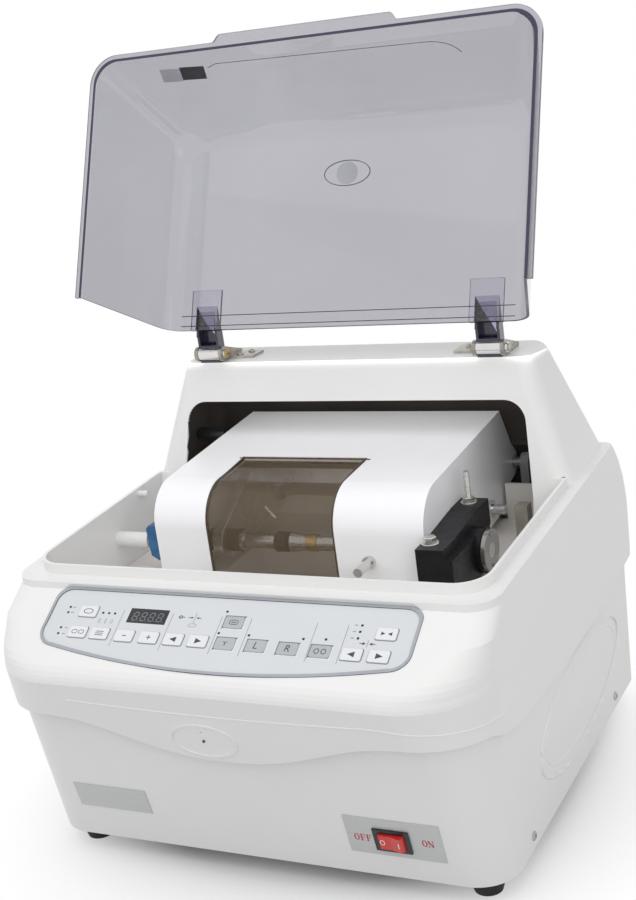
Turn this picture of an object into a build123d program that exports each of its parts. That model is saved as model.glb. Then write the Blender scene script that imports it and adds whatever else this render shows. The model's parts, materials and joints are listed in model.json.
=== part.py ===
from build123d import *
import os
from math import atan2, cos, degrees, radians, sin, sqrt, tan

os.makedirs("parts", exist_ok=True)

# A bench-top automatic edger that grinds a spectacle lens to the outline of a pattern.
# Millimetres. X to the right, Y to the rear, Z up, origin on the floor at the middle of the footprint.

# Overall sizes
body_width = 432
body_depth = 440
floor_gap = 18
rim_height = 255.5
hood_height = 367
rim_rise = 2.4
wall = 3
clearance = 0.3
running_gap = 0.05
overrun = 20
half_width = body_width / 2
half_depth = body_depth / 2

# Front console: a tilted panel, a round nose below it, and a skirt that turns in again
panel_tilt = 31
panel_top_z = 240.5
nose_start_z = 206
nose_radius = 21
nose_tuck = nose_radius * (1 - sin(radians(panel_tilt)))
panel_top_y = nose_tuck + (panel_top_z - nose_start_z) / tan(radians(panel_tilt)) - half_depth
skirt_bottom_z = 100
skirt_turn_in = 0.30
rear_round = 100
belly_height = 190
side_crown = 2
belly_reach = 80
nose_shares = (0, 0.25, 0.45, 0.65, 0.82, 1)
skirt_shares = (0.4, 1)
front_corner = 66
rear_corner = 10
# Shares of the front corner's radius at the rim, panel top and middle, nose and skirt levels
rim_corner_share = 0.38
middle_corner_share = 0.44
nose_corner_shares = (0.85, 0.93, 0.97, 1, 1, 1)
skirt_corner_shares = (0.86, 0.78)
outline_top_z = 268

# Lower housing
lower_bottom_half = 210
lower_top_half = 211.2
lower_bottom_front = -166.5
lower_top_front = -203
lower_bottom_rear = 209.5
lower_top_rear = 213
lower_top_z = 165
lower_corner = 34
lower_top_corner = 50
seat_width = 10
seat_thickness = 3

# Wave line where the upper housing ends, and the well rim
wave_corner_z = 152.8
wave_middle_z = 124
wave_shoulder_z = 149
wave_side_dip = 22.8
wave_turn = 48
well_half = 200.6
well_front = -134.5
well_rear = 150
well_corner = 25
rim_width = 2.8
rim_step = 8.5
skirt_drop = 58

# Hood
hood_front_y = 76.5
hood_lean = 13.2
hood_base_z = 258
hood_base_half = 206
hood_top_half = 172
hood_base_rear = 193
hood_top_rear = 160
hood_corner = 16
hood_edge_round = 12
arch_half_top = 167
arch_half_base = 174
arch_top_z = 329.6
arch_corner = 20

# Lid, given closed, with its hinge
hinge_y = 100.6
hinge_z = 374.4
hinge_x = 138.6
lid_travel = 116.6
lid_wall = 2.6
lid_flange = 4.5
lid_base_half = 209.4
lid_top_half = 178
lid_front = -144.2
lid_front_lean = 43
lid_height = 104
lid_rear_base = 72.5
lid_rear_lean = 9
lid_corner = 22
lid_edge_round = 22
lid_seat_gap = 0.6
lid_level_shares = (-1, 0, 0.3, 0.5, 0.7, 0.85, 0.95, 1)
badge_lid_u = 90
badge_lid_half_length = 23
badge_lid_half_height = 12
tab_half = 83
tab_reach = 7
barrel_radius = 6
barrel_length = 22
arm_wall = 2.4
pad_length = 38
pad_width = 31
ear_thickness = 3
ear_radius = 7
ear_foot = 2
arm_share = 0.6
bracket_depth = 22
bracket_thickness = 2.2
bracket_flange = 24
bracket_screw_shares = ((0.45, 0.25), (0.75, 0.72))
hinge_pin_radius = 2.5
hinge_pin_head = 4.5
hinge_pin_head_height = 2.5

# Control panel
overlay_half = 161
overlay_side = 50
overlay_middle = 67.5
overlay_corner = 12
overlay_lower_corner = 14
bezel_width = 2.6
bezel_proud = 0.6
pocket_depth = 1.6
overlay_thickness = 1.5
fit_gap = 0.1
key_width = 16.5
key_height = 10.5
key_corner = 1.5
key_gap = 0.25
key_rise = 1
key_flange = 1
key_travel = 0.8
board_gap = 2.4
board_thickness = 1.6
board_half = 152
board_top = 6
board_low = 60
board_boss_radius = 3
display_width = 36
display_height = 14
display_shares = (-0.429, 0.319)
lamp_radius = 1.1
# Places on the panel as shares of its half width and of its height, measured down from its top line
key_shares = {
    "key_lens": (-0.781, 0.308),
    "key_frame": (-0.789, 0.607),
    "key_mode": (-0.661, 0.607),
    "key_minus": (-0.512, 0.615),
    "key_plus": (-0.371, 0.615),
    "key_size_left": (-0.230, 0.615),
    "key_size_right": (-0.093, 0.615),
    "key_test": (0.062, 0.329),
    "key_view": (0.058, 0.622),
    "key_start_left": (0.225, 0.622),
    "key_start_right": (0.394, 0.628),
    "key_stop": (0.563, 0.630),
    "key_press": (0.863, 0.344),
    "key_chuck_left": (0.723, 0.637),
    "key_chuck_right": (0.859, 0.637),
}
lamp_shares = (
    (-0.904, 0.258),
    (-0.904, 0.336),
    (-0.696, 0.310),
    (-0.660, 0.310),
    (-0.625, 0.310),
    (-0.904, 0.557),
    (-0.904, 0.643),
    (0.001, 0.181),
    (0.001, 0.480),
    (0.166, 0.481),
    (0.455, 0.477),
    (0.570, 0.462),
    (0.727, 0.247),
    (0.727, 0.332),
    (0.727, 0.419),
)

# Plates and switch on the lower front
label_thickness = 0.8
name_plate_x = -131.5
name_plate_z = 63.5
name_plate_width = 71
name_plate_height = 25
switch_plate_x = 125
switch_plate_z = 59.5
switch_plate_width = 80
switch_plate_height = 38
switch_x = 123.5
switch_z = 57.5
switch_width = 30
switch_height = 22
switch_frame = 1.6
switch_lip = 1.5
switch_wall = 2
switch_depth = 22
rocker_depth = 0.5
rocker_rise = 4.2
rocker_tilt = 7
rocker_pin = 1.2
badge_half_length = 29.6
badge_half_height = 17
badge_z = 144
badge_x = -12
badge_line = 1.6
badge_proud = 0.8
badge_hole = 0.8
crest_y = 47.5
crest_z = 81
crest_half_length = 119
crest_half_height = 41.5
crest_tilt = 4
crest_line = 2.5
crest_proud = 1

# Base plate, feet and side screws
plate_bottom_z = 20
plate_thickness = 4
foot_x = 182
foot_front_y = -138
foot_rear_y = 172
foot_radius = 17
foot_neck = 10
foot_taper = 5.5
tab_plate = 3
tab_length = 20
tab_height = 14
side_screw_front_y = -102.5
side_screw_rear_y = 143.5
side_screw_z = 29
screw_radius = 2
screw_head = 4
screw_head_height = 1.6

# Carriage with its cover, given in its parked place
cover_left = -137
cover_right = 119
cover_front = -41
cover_round = 36
cover_round_z = 253
cover_slope = 5.5
cover_rear_y = 160
cover_rear_z = 299.7
cover_back_y = 196
cover_belly_y = 170
cover_bottom_z = 204.5
cover_wall = 4
cover_lift = 20
cover_step = 11
back_shares = (0.61, 0.35)
pivot_y = 187.5
pivot_z = 242
pivot_radius = 6
pivot_lug = 9
pivot_bore_gap = 0.4
lens_y = 5.5
lens_z = 226
shaft_radius = 6.6
cheek_radius = 16
cheek_thickness = 10
left_cheek_x = -100
right_cheek_x = 44
bar_y = 67
bar_z = 269
bar_size = 14
window_left = -85
window_right = 38
window_top_y = 40
window_thickness = 3
window_barrel = 2
window_pin = 1.2
window_pin_length = 3

# Lens shafts, chuck and pattern end
sleeve_radius = 10.3
sleeve_left = -108
sleeve_right = -78
sleeve_collar_radius = 9
sleeve_collar = 3.6
pad_left = -42
pad_right = -31
pad_radius = 9
chuck_left = -27
chuck_nose = 15
chuck_radius = 9
cup_length = 10
cup_radius = 7.6
cup_bore = 5
disc_left = 154.3
disc_thickness = 4
disc_radius = 18
disc_pin_radius = 1.5
disc_pin_height = 1.2
disc_pin_reach = 13.5
casting_boss_radius = 19.5
casting_boss_right = 154
casting_ear_right = 137
casting_ear_front = -62
casting_ear_rear = -34
casting_ear_top = 251
casting_web = 24
casting_block_right = 150
casting_block_rear = 8
casting_block_top = 242
casting_block_bottom = 206
casting_apex_front = 22
casting_apex_rear = 48
casting_apex_top = 256
casting_apex_depth = 22
bolt_x = 127
bolt_y = -48
bolt_radius = 3
bolt_depth = 26
bolt_head = 5.6
bolt_head_height = 5.5
washer_radius = 7.5
washer_thickness = 1.4
stud_x = 130
stud_y = 36
stud_height = 28
stud_depth = 14
lift_pin_x = 68
lift_pin_z = 230
lift_pin_radius = 4
lift_pin_reach = 25
lift_pin_collar = 5.6
lift_pin_collar_length = 4
knob_y = 117.5
knob_z = 290
knob_left = -175
knob_radius = 6.5
knob_stem = 3
knob_stem_length = 8
fitting_y = 112
fitting_z = 222
fitting_radius = 4.5
fitting_flange = 8
fitting_flange_thickness = 3
fitting_length = 15

# Tray, posts and small parts in the well
tray_floor_z = 199
tray_wall = 3
tray_rear_z = 234
tray_inner_z = 218
tray_gap = 3
basin_left = -100
basin_right = 60
basin_half = 72
basin_bottom_z = 78
pillar_x = 168
pillar_front_y = -100
pillar_rear_y = 120
pillar_radius = 8
post_x = 155
post_y = 98
post_size = 12
post_height = 34
stop_x = 135
stop_y = -45
stop_radius = 5
pivot_post_left = -154
pivot_post_right = 127
pivot_post_thickness = 8
valve_y = -8
valve_z = 228
valve_radius = 7
valve_right = -167
valve_stem = 4
lever_left = -166.5
lever_right = -150
lever_reach = 18
lever_thickness = 5
lever_hub = 6
sensor_y = 35
sensor_z = 257
sensor_radius = 3
sensor_length = 10
inlet_x = -120
inlet_z = 62
inlet_width = 48
inlet_height = 27
inlet_depth = 22
inlet_lip = 3
inlet_lip_thickness = 2
port_x = 90
port_spacing = 44
port_z = 60
port_radius = 7
port_bore = 4.5
port_reach = 6.5
port_depth = 20

# Grinding wheels, spindle, motor and belt
wheel_radius = 50
wheel_y = 0
wheel_z = 136
rough_left = -62
rough_width = 22
fine_width = 16
bevel_width = 14
bevel_groove = 3
spindle_radius = 8
spindle_left = -92
spindle_collar_radius = 20
spindle_collar = 4
spindle_nut_flats = 24
spindle_nut = 8
bearing_radius = 16
bearing_length = 9
pulley_left = 70
pulley_width = 14
pulley_flange = 1.5
pulley_lip = 3
spindle_pulley_radius = 26
motor_pulley_radius = 20
belt_width = 10
belt_thickness = 3
motor_y = 122
motor_z = 74
motor_radius = 42
motor_left = -70
motor_right = 50
motor_nose_radius = 18
motor_nose = 8
motor_shaft_radius = 6
motor_shaft_depth = 25
cradle_half = 34
cradle_left = -50
cradle_right = 30
cradle_top_z = 58

level = Plane.XY
side = Plane.YZ
front_view = Plane.XZ


def rising(z_at_front, y, y_front=well_front):
    """Height of a line that rises to the rear at the angle of the rim."""
    return z_at_front + (y - y_front) * tan(radians(rim_rise))


def console_front(z):
    """Y of the front outline of the upper housing at a height."""
    nose_y = panel_top_y - (panel_top_z - nose_start_z) / tan(radians(panel_tilt))
    if z >= nose_start_z:
        return panel_top_y - max(panel_top_z - z, 0) / tan(radians(panel_tilt))
    centre_y = nose_y + nose_radius * sin(radians(panel_tilt))
    centre_z = nose_start_z - nose_radius * cos(radians(panel_tilt))
    if z >= centre_z:
        return centre_y - sqrt(nose_radius**2 - (z - centre_z) ** 2)
    return centre_y - nose_radius + skirt_turn_in * (centre_z - z)


def rounded_outline(left, right, front, rear, front_radius, rear_radius):
    """A closed outline with its own corner radius at the front and at the rear."""
    corners = [(left, front), (right, front), (right, rear), (left, rear)]
    radii = [front_radius, front_radius, rear_radius, rear_radius]
    FilletPolyline(*corners, radius=radii, close=True)


def upper_form(inset):
    """The upper housing's outer form, drawn in by an inset."""
    nose_end_z = nose_start_z - nose_radius * cos(radians(panel_tilt))
    levels = [(z, rim_corner_share) for z in (outline_top_z, rim_height, panel_top_z)]
    levels.append(((panel_top_z + nose_start_z) / 2, middle_corner_share))
    for share, corner_share in zip(nose_shares, nose_corner_shares):
        levels.append((nose_start_z + (nose_end_z - nose_start_z) * share, corner_share))
    for share, corner_share in zip(skirt_shares, skirt_corner_shares):
        levels.append((nose_end_z + (skirt_bottom_z - nose_end_z) * share, corner_share))
    with BuildPart() as form:
        for z, corner_share in levels:
            over = max(z - belly_height, 0)
            rear_y = half_depth - rear_round + sqrt(rear_round**2 - over**2)
            out = half_width - side_crown * ((z - belly_height) / belly_reach) ** 2
            with BuildSketch(level.offset(z)):
                with BuildLine():
                    rounded_outline(
                        inset - out,
                        out - inset,
                        console_front(z) + inset / sin(radians(panel_tilt)),
                        rear_y - inset,
                        front_corner * corner_share - inset,
                        max(rear_corner - inset, wall),
                    )
                make_face()
        loft(ruled=True)
    return form.part


def lower_form(inset):
    """The lower housing's outer form, drawn in by an inset."""
    with BuildPart() as form:
        for z, half, front, rear, corner in (
            (floor_gap, lower_bottom_half, lower_bottom_front, lower_bottom_rear, lower_corner),
            (lower_top_z, lower_top_half, lower_top_front, lower_top_rear, lower_top_corner),
        ):
            with BuildSketch(level.offset(z)):
                with BuildLine():
                    rounded_outline(
                        inset - half,
                        half - inset,
                        front + inset,
                        rear - inset,
                        corner - inset,
                        max(rear_corner - inset, wall),
                    )
                make_face()
        loft(ruled=True)
    return form.part


def hood_form(inset, base_z):
    """The hood's outer form from a level below its foot up to its top, drawn in by an inset."""
    height = hood_height - hood_base_z
    with BuildPart() as form:
        for z in (base_z, hood_height - inset):
            up = z - hood_base_z
            half = hood_base_half - (hood_base_half - hood_top_half) * up / height - inset
            front = hood_front_y + up * tan(radians(hood_lean)) + inset
            rear = hood_base_rear - (hood_base_rear - hood_top_rear) * up / height - inset
            with BuildSketch(level.offset(z)):
                with BuildLine():
                    rounded_outline(-half, half, front, rear, hood_corner - inset, hood_corner - inset)
                make_face()
        loft(ruled=True)
        fillet(form.edges().group_by(Axis.Z)[-1], hood_edge_round - inset)
    return form.part


def prism_yz(points, left, right):
    """A solid between two X values whose outline is given in Y and Z."""
    with BuildPart() as solid:
        with BuildSketch(side.offset(left)):
            with BuildLine():
                Polyline(*points, close=True)
            make_face()
        extrude(amount=right - left)
    return solid.part


def above_line(z_at_front):
    """Everything above a line that rises with the rim."""
    far = body_depth
    low, high = rising(z_at_front, -far), rising(z_at_front, far)
    return prism_yz([(-far, low), (far, high), (far, high + far), (-far, low + far)], -far, far)


def hood_face_y(z):
    """Y of the hood's front face at a height."""
    return hood_front_y + (z - hood_base_z) * tan(radians(hood_lean))


def before_hood(inset, left, right, low, high):
    """The block in front of the hood's face, between two heights."""
    far = -body_depth
    points = [
        (far, low),
        (hood_face_y(low) + inset, low),
        (hood_face_y(high) + inset, high),
        (far, high),
    ]
    return prism_yz(points, left, right)


def block(left, right, front, rear, low, high):
    """A box between two values on each axis."""
    with BuildPart() as solid:
        with BuildSketch(level.offset(low)):
            with Locations(((left + right) / 2, (front + rear) / 2)):
                Rectangle(right - left, rear - front)
        extrude(amount=high - low)
    return solid.part


def rod_x(radius, left, right, y, z):
    """A round bar along X."""
    with BuildPart() as solid:
        with BuildSketch(side.offset(left)):
            with Locations((y, z)):
                Circle(radius)
        extrude(amount=right - left)
    return solid.part


def rod_z(radius, x, y, low, high):
    """A round bar standing up."""
    with BuildPart() as solid:
        with BuildSketch(level.offset(low)):
            with Locations((x, y)):
                Circle(radius)
        extrude(amount=high - low)
    return solid.part


def rod_out(plane, radius, u, v, low, high):
    """A round bar square to a plane, between two heights over it."""
    with BuildPart() as solid:
        with BuildSketch(plane.offset(low)):
            with Locations((u, v)):
                Circle(radius)
        extrude(amount=high - low)
    return solid.part


def plate_out(plane, u, v, width, height, low, high, corner=0):
    """A rectangular piece square to a plane, between two heights over it."""
    with BuildPart() as solid:
        with BuildSketch(plane.offset(low)):
            with Locations((u, v)):
                if corner > 0:
                    RectangleRounded(width, height, corner)
                else:
                    Rectangle(width, height)
        extrude(amount=high - low)
    return solid.part


def hull_x(circles, left, right):
    """A bar between two X values, wrapped round circles given as Y, Z and radius."""
    with BuildPart() as solid:
        with BuildSketch(side.offset(left)):
            for y, z, radius in circles:
                with Locations((y, z)):
                    Circle(radius)
            make_hull()
        extrude(amount=right - left)
    return solid.part


def outline_out(plane, sketch, low, high):
    """A sketched outline made solid between two heights over a plane."""
    with BuildPart() as solid:
        with BuildSketch(plane.offset(low)):
            add(sketch)
        extrude(amount=high - low)
    return solid.part


def well_prism(grow, low, high, rear):
    """A block with the well's outline, grown by an amount."""
    with BuildPart() as solid:
        with BuildSketch(level.offset(low)):
            with BuildLine():
                rounded_outline(
                    -well_half - grow,
                    well_half + grow,
                    well_front - grow,
                    rear,
                    well_corner + grow,
                    rear_corner,
                )
            make_face()
        extrude(amount=high - low)
    return solid.part


# Panel plane: X along the panel, Y up its slope, Z out of it
panel_normal = (0, -sin(radians(panel_tilt)), cos(radians(panel_tilt)))
panel_plane = Plane(origin=(0, panel_top_y, panel_top_z), x_dir=(1, 0, 0), z_dir=panel_normal)


def overlay_outline(grow):
    """The outline of the control panel's overlay, grown by an amount."""
    half = overlay_half + grow
    corner = overlay_corner
    side_low = -overlay_side - grow + overlay_lower_corner
    low_y = -overlay_side - grow - overlay_lower_corner / 5
    low_x = half - overlay_lower_corner
    with BuildSketch() as outline:
        with BuildLine():
            top = Line((corner - half, grow), (half - corner, grow))
            top_right = JernArc(top @ 1, (1, 0), corner, -90)
            right = Line(top_right @ 1, (half, side_low))
            low_right = RadiusArc(right @ 1, (low_x, low_y), overlay_lower_corner + grow)
            low = ThreePointArc(low_right @ 1, (0, -overlay_middle - grow), (-low_x, low_y))
            low_left = RadiusArc(low @ 1, (-half, side_low), overlay_lower_corner + grow)
            left = Line(low_left @ 1, (-half, grow - corner))
            JernArc(left @ 1, (0, 1), corner, -90)
        make_face()
    return outline.sketch


# Shares of the half width and of the rise of the wavy edge across the front, and of the half
# depth and of the dip along the sides
wave_front_shares = ((0, 0), (0.12, 0.04), (0.39, 0.6), (0.55, 1.03), (0.8, 1.22), (1.05, 1.12))
wave_side_shares = ((-0.61, 0.56), (-0.31, 0.87), (0.14, 1), (0.52, 0.82), (1.05, 0.34))


def under_front_wave():
    """Outline below the wavy edge across the front, in X and Z."""
    rise = wave_shoulder_z - wave_middle_z
    right = [(half_width * x, wave_middle_z + rise * up) for x, up in wave_front_shares]
    left = [(-x, z) for x, z in reversed(right[1:])]
    with BuildSketch() as outline:
        with BuildLine():
            wave = Spline(*left, *right)
            Polyline(wave @ 1, (right[-1][0], 0), (left[0][0], 0), wave @ 0)
        make_face()
    return outline.sketch


def under_side_wave():
    """Outline below the wavy edge along a side, in Y and Z."""
    start = (wave_turn - half_depth, wave_corner_z)
    points = [(half_depth * y, wave_corner_z - wave_side_dip * dip) for y, dip in wave_side_shares]
    with BuildSketch() as outline:
        with BuildLine():
            wave = Spline(start, *points)
            Polyline(wave @ 1, (points[-1][0], 0), (start[0], 0), wave @ 0)
        make_face()
    return outline.sketch


def panel_place(shares):
    """X and the height up the slope of a place on the panel."""
    return shares[0] * overlay_half, -shares[1] * overlay_middle


# Front face of the lower housing, its right face, and the skirt below the nose
front_lean = atan2(lower_bottom_front - lower_top_front, lower_top_z - floor_gap)
front_face = Plane(
    origin=(0, lower_bottom_front, floor_gap), x_dir=(1, 0, 0), z_dir=(0, -cos(front_lean), -sin(front_lean))
)
right_lean = atan2(lower_top_half - lower_bottom_half, lower_top_z - floor_gap)
right_face = Plane(
    origin=(lower_bottom_half, 0, floor_gap), x_dir=(0, 1, 0), z_dir=(cos(right_lean), 0, -sin(right_lean))
)
nose_end_z = nose_start_z - nose_radius * cos(radians(panel_tilt))
skirt_lean = atan2(skirt_turn_in, 1)
skirt_face = Plane(
    origin=(0, -half_depth, nose_end_z), x_dir=(1, 0, 0), z_dir=(0, -cos(skirt_lean), -sin(skirt_lean))
)


def up_front(z):
    """Height along the lower housing's front face for a height over the floor."""
    return (z - floor_gap) / cos(front_lean)


# Upper housing: console, well rim and hood in one moulding
ledge_z = rim_height - rim_step
skirt_z = rim_height - skirt_drop
hood_foot_z = hood_base_z + 2 * wall
far_half = half_width + overrun
inner = upper_form(wall) - above_line(ledge_z - wall)
seat_top = lower_top_z + seat_thickness
seat_ring = (upper_form(wall) - upper_form(wall + seat_width)) & block(
    -far_half, far_half, -half_depth, half_depth, lower_top_z, seat_top
)
outer_hood = hood_form(0, ledge_z - wall)
inner_hood = hood_form(wall, ledge_z - 2 * wall)
rim_ring = well_prism(rim_width, skirt_z, hood_foot_z, well_rear) - above_line(rim_height)
rim_ring = rim_ring & before_hood(wall, -half_width, half_width, skirt_z, hood_foot_z)
low_void = well_prism(0, skirt_z - wall, tray_floor_z + clearance, well_rear)
front_void = well_prism(0, skirt_z - wall, hood_foot_z + wall, well_rear) & before_hood(
    0, -half_width, half_width, skirt_z - wall, hood_foot_z + wall
)
rear_void = well_prism(0, skirt_z - wall, hood_foot_z, hood_base_rear - wall) - before_hood(
    wall, -half_width, half_width, skirt_z - 2 * wall, hood_foot_z + wall
)
boss_x = board_half - 2 * board_boss_radius
boss_heights = (-board_top - board_boss_radius, board_boss_radius - board_low)
boss_places = [(x, v) for x in (-boss_x, boss_x) for v in boss_heights]
board_z = -wall - board_gap

with BuildPart() as upper_housing:
    add(upper_form(0) - above_line(ledge_z))
    add(outer_hood)
    add(inner, mode=Mode.SUBTRACT)
    add(rim_ring)
    add(inner_hood, mode=Mode.SUBTRACT)
    add(front_void, mode=Mode.SUBTRACT)
    add(rear_void, mode=Mode.SUBTRACT)
    add(low_void, mode=Mode.SUBTRACT)
    add(seat_ring)
    # Arch through the front of the hood
    with BuildSketch(front_view.offset(-hood_face_y(arch_top_z) - 2 * wall)):
        with BuildLine():
            FilletPolyline(
                (-arch_half_base, skirt_z - wall),
                (-arch_half_base, ledge_z),
                (-arch_half_top, arch_top_z),
                (arch_half_top, arch_top_z),
                (arch_half_base, ledge_z),
                (arch_half_base, skirt_z - wall),
                radius=[arch_corner, arch_corner, arch_corner, arch_corner],
            )
            Line((arch_half_base, skirt_z - wall), (-arch_half_base, skirt_z - wall))
        make_face()
    extrude(amount=hood_face_y(arch_top_z) - hood_face_y(skirt_z) + 3 * wall, mode=Mode.SUBTRACT)
    # Wavy lower edge
    front_reach = (half_depth - wave_turn, half_depth + overrun)
    add(outline_out(front_view, under_front_wave(), *front_reach), mode=Mode.SUBTRACT)
    add(outline_out(side, under_side_wave(), -far_half, far_half), mode=Mode.SUBTRACT)
    # Pocket for the panel, the holes through it and the bosses behind it
    add(outline_out(panel_plane, overlay_outline(bezel_width), -pocket_depth, overrun), mode=Mode.SUBTRACT)
    with BuildSketch(panel_plane.offset(-overrun / 2)):
        for place in key_shares.values():
            with Locations(panel_place(place)):
                RectangleRounded(key_width + 2 * key_gap, key_height + 2 * key_gap, key_corner)
        for place in lamp_shares:
            with Locations(panel_place(place)):
                Circle(lamp_radius)
        with Locations(panel_place(display_shares)):
            Rectangle(display_width, display_height)
    extrude(amount=overrun / 2, mode=Mode.SUBTRACT)
    with BuildSketch(panel_plane.offset(board_z)):
        with Locations(*boss_places):
            Circle(board_boss_radius)
    extrude(amount=board_gap + (wall - pocket_depth) / 2)
    # Raised line round the plain badge on the skirt, with its small hole
    with BuildSketch(skirt_face.offset(-wall / 2)):
        with Locations((badge_x, (badge_z - nose_end_z) / cos(skirt_lean))):
            Ellipse(badge_half_length, badge_half_height)
            Ellipse(badge_half_length - badge_line, badge_half_height - badge_line, mode=Mode.SUBTRACT)
    extrude(amount=wall / 2 + badge_proud)
    with BuildSketch(skirt_face.offset(badge_proud)):
        with Locations((badge_x, (badge_z + badge_half_height / 2 - nose_end_z) / cos(skirt_lean))):
            Circle(badge_hole)
    extrude(amount=-overrun, mode=Mode.SUBTRACT)

with BuildPart() as lower_housing:
    add(lower_form(0))
    add(lower_form(wall), mode=Mode.SUBTRACT)
    # Raised oval on the right side
    with BuildSketch(right_face.offset(-wall / 2)):
        with Locations((crest_y, crest_z - floor_gap)):
            Ellipse(crest_half_length, crest_half_height, rotation=crest_tilt)
            inner_size = (crest_half_length - crest_line, crest_half_height - crest_line)
            Ellipse(*inner_size, rotation=crest_tilt, mode=Mode.SUBTRACT)
    extrude(amount=wall / 2 + crest_proud)
    # Openings for the switch, the inlet, the water ports and the side screws
    switch_hole = (switch_width - 2 * switch_frame, switch_height - 2 * switch_frame)
    switch_place = (switch_x, up_front(switch_z))
    add(plate_out(front_face, *switch_place, *switch_hole, -overrun, overrun), mode=Mode.SUBTRACT)
    add(
        block(
            inlet_x - inlet_width / 2,
            inlet_x + inlet_width / 2,
            lower_bottom_rear - overrun,
            half_depth,
            inlet_z - inlet_height / 2,
            inlet_z + inlet_height / 2,
        ),
        mode=Mode.SUBTRACT,
    )
    with BuildSketch(front_view.offset(-half_depth)):
        with Locations((port_x - port_spacing / 2, port_z), (port_x + port_spacing / 2, port_z)):
            Circle(port_radius)
    extrude(amount=overrun, mode=Mode.SUBTRACT)
    for y in (side_screw_front_y, side_screw_rear_y):
        add(rod_x(screw_radius, -half_width, half_width, y, side_screw_z), mode=Mode.SUBTRACT)


# Rocker switch and the plates on the lower front
with BuildPart() as front_plates:
    width, height = name_plate_width, name_plate_height
    add(plate_out(front_face, name_plate_x, up_front(name_plate_z), width, height, 0, label_thickness))
    width, height = switch_plate_width, switch_plate_height
    add(plate_out(front_face, switch_plate_x, up_front(switch_plate_z), width, height, 0, label_thickness))
    add(plate_out(front_face, switch_x, up_front(switch_z), *switch_hole, -wall, wall), mode=Mode.SUBTRACT)

rocker_width = switch_width - 2 * (switch_frame + switch_wall)
rocker_height = switch_height - 2 * (switch_frame + switch_wall)
switch_top = label_thickness + switch_lip
switch_origin = front_face.from_local_coords((*switch_place, 0))
switch_plane = Plane(origin=switch_origin, x_dir=(1, 0, 0), z_dir=front_face.z_dir)
with BuildPart() as switch_bezel:
    add(plate_out(switch_plane, 0, 0, switch_width, switch_height, label_thickness, switch_top))
    add(plate_out(switch_plane, 0, 0, *switch_hole, -switch_depth, switch_top))
    add(
        plate_out(switch_plane, 0, 0, rocker_width, rocker_height, wall - switch_depth, switch_top),
        mode=Mode.SUBTRACT,
    )
    # Bores for the rocker's pins
    with BuildSketch(Plane(origin=switch_plane.origin, x_dir=(1, 0, 0), z_dir=switch_plane.y_dir)):
        with Locations((0, rocker_depth)):
            Circle(rocker_pin + running_gap)
    extrude(amount=rocker_height / 2 + switch_wall / 2, both=True, mode=Mode.SUBTRACT)

rocker_reach = rocker_width / 2 - clearance
with BuildPart() as switch_rocker:
    with BuildSketch(Plane(origin=switch_plane.origin, x_dir=(1, 0, 0), z_dir=switch_plane.y_dir)):
        with BuildLine():
            # A shallow V over the pins, turned so that its left half is pressed in
            deep = rocker_depth + rocker_pin + switch_wall
            top = -rocker_rise
            tip = top - rocker_reach * tan(radians(2 * rocker_tilt))
            Polyline(
                (-rocker_reach, top),
                (0, top),
                (rocker_reach * cos(radians(2 * rocker_tilt)), tip),
                (rocker_reach, rocker_depth),
                (rocker_reach / 2, deep),
                (-rocker_reach / 2, deep),
                (-rocker_reach, rocker_depth),
                close=True,
            )
        make_face()
        with Locations((0, rocker_depth)):
            Circle(rocker_reach, mode=Mode.INTERSECT)
    extrude(amount=rocker_height / 2 - clearance, both=True)
    with BuildSketch(Plane(origin=switch_plane.origin, x_dir=(1, 0, 0), z_dir=switch_plane.y_dir)):
        with Locations((0, rocker_depth)):
            Circle(rocker_pin)
    extrude(amount=rocker_height / 2 + switch_wall / 2 - clearance, both=True)

# Control panel: frame, overlay, display, lamps, keys and the board behind them
with BuildPart() as panel_bezel:
    add(outline_out(panel_plane, overlay_outline(bezel_width - fit_gap), -pocket_depth, bezel_proud))
    add(outline_out(panel_plane, overlay_outline(0), -pocket_depth, bezel_proud), mode=Mode.SUBTRACT)

with BuildPart() as panel_overlay:
    with BuildSketch(panel_plane.offset(-pocket_depth)):
        add(overlay_outline(-fit_gap))
        for place in key_shares.values():
            with Locations(panel_place(place)):
                RectangleRounded(
                    key_width + 2 * key_gap, key_height + 2 * key_gap, key_corner, mode=Mode.SUBTRACT
                )
        for place in lamp_shares:
            with Locations(panel_place(place)):
                Circle(lamp_radius, mode=Mode.SUBTRACT)
        with Locations(panel_place(display_shares)):
            Rectangle(display_width, display_height, mode=Mode.SUBTRACT)
    extrude(amount=overlay_thickness)

overlay_top = overlay_thickness - pocket_depth
with BuildPart() as display:
    u, v = panel_place(display_shares)
    add(plate_out(panel_plane, u, v, display_width, display_height, board_z, overlay_top))

with BuildPart() as indicator_lamps:
    with BuildSketch(panel_plane.offset(board_z)):
        for place in lamp_shares:
            with Locations(panel_place(place)):
                Circle(lamp_radius)
    extrude(amount=overlay_top - board_z + fit_gap)

with BuildPart() as circuit_board:
    middle = -(board_top + board_low) / 2
    size = (2 * board_half, board_low - board_top)
    add(plate_out(panel_plane, 0, middle, *size, board_z - board_thickness, board_z))

keys = {}
for name, place in key_shares.items():
    with BuildPart() as key:
        u, v = panel_place(place)
        low = -wall - clearance - key_flange
        flange = (key_width + 2 * key_flange, key_height + 2 * key_flange)
        add(plate_out(panel_plane, u, v, key_width, key_height, low, overlay_top + key_rise, key_corner))
        add(plate_out(panel_plane, u, v, *flange, low, low + key_flange, key_corner))
    keys[name] = key

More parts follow.
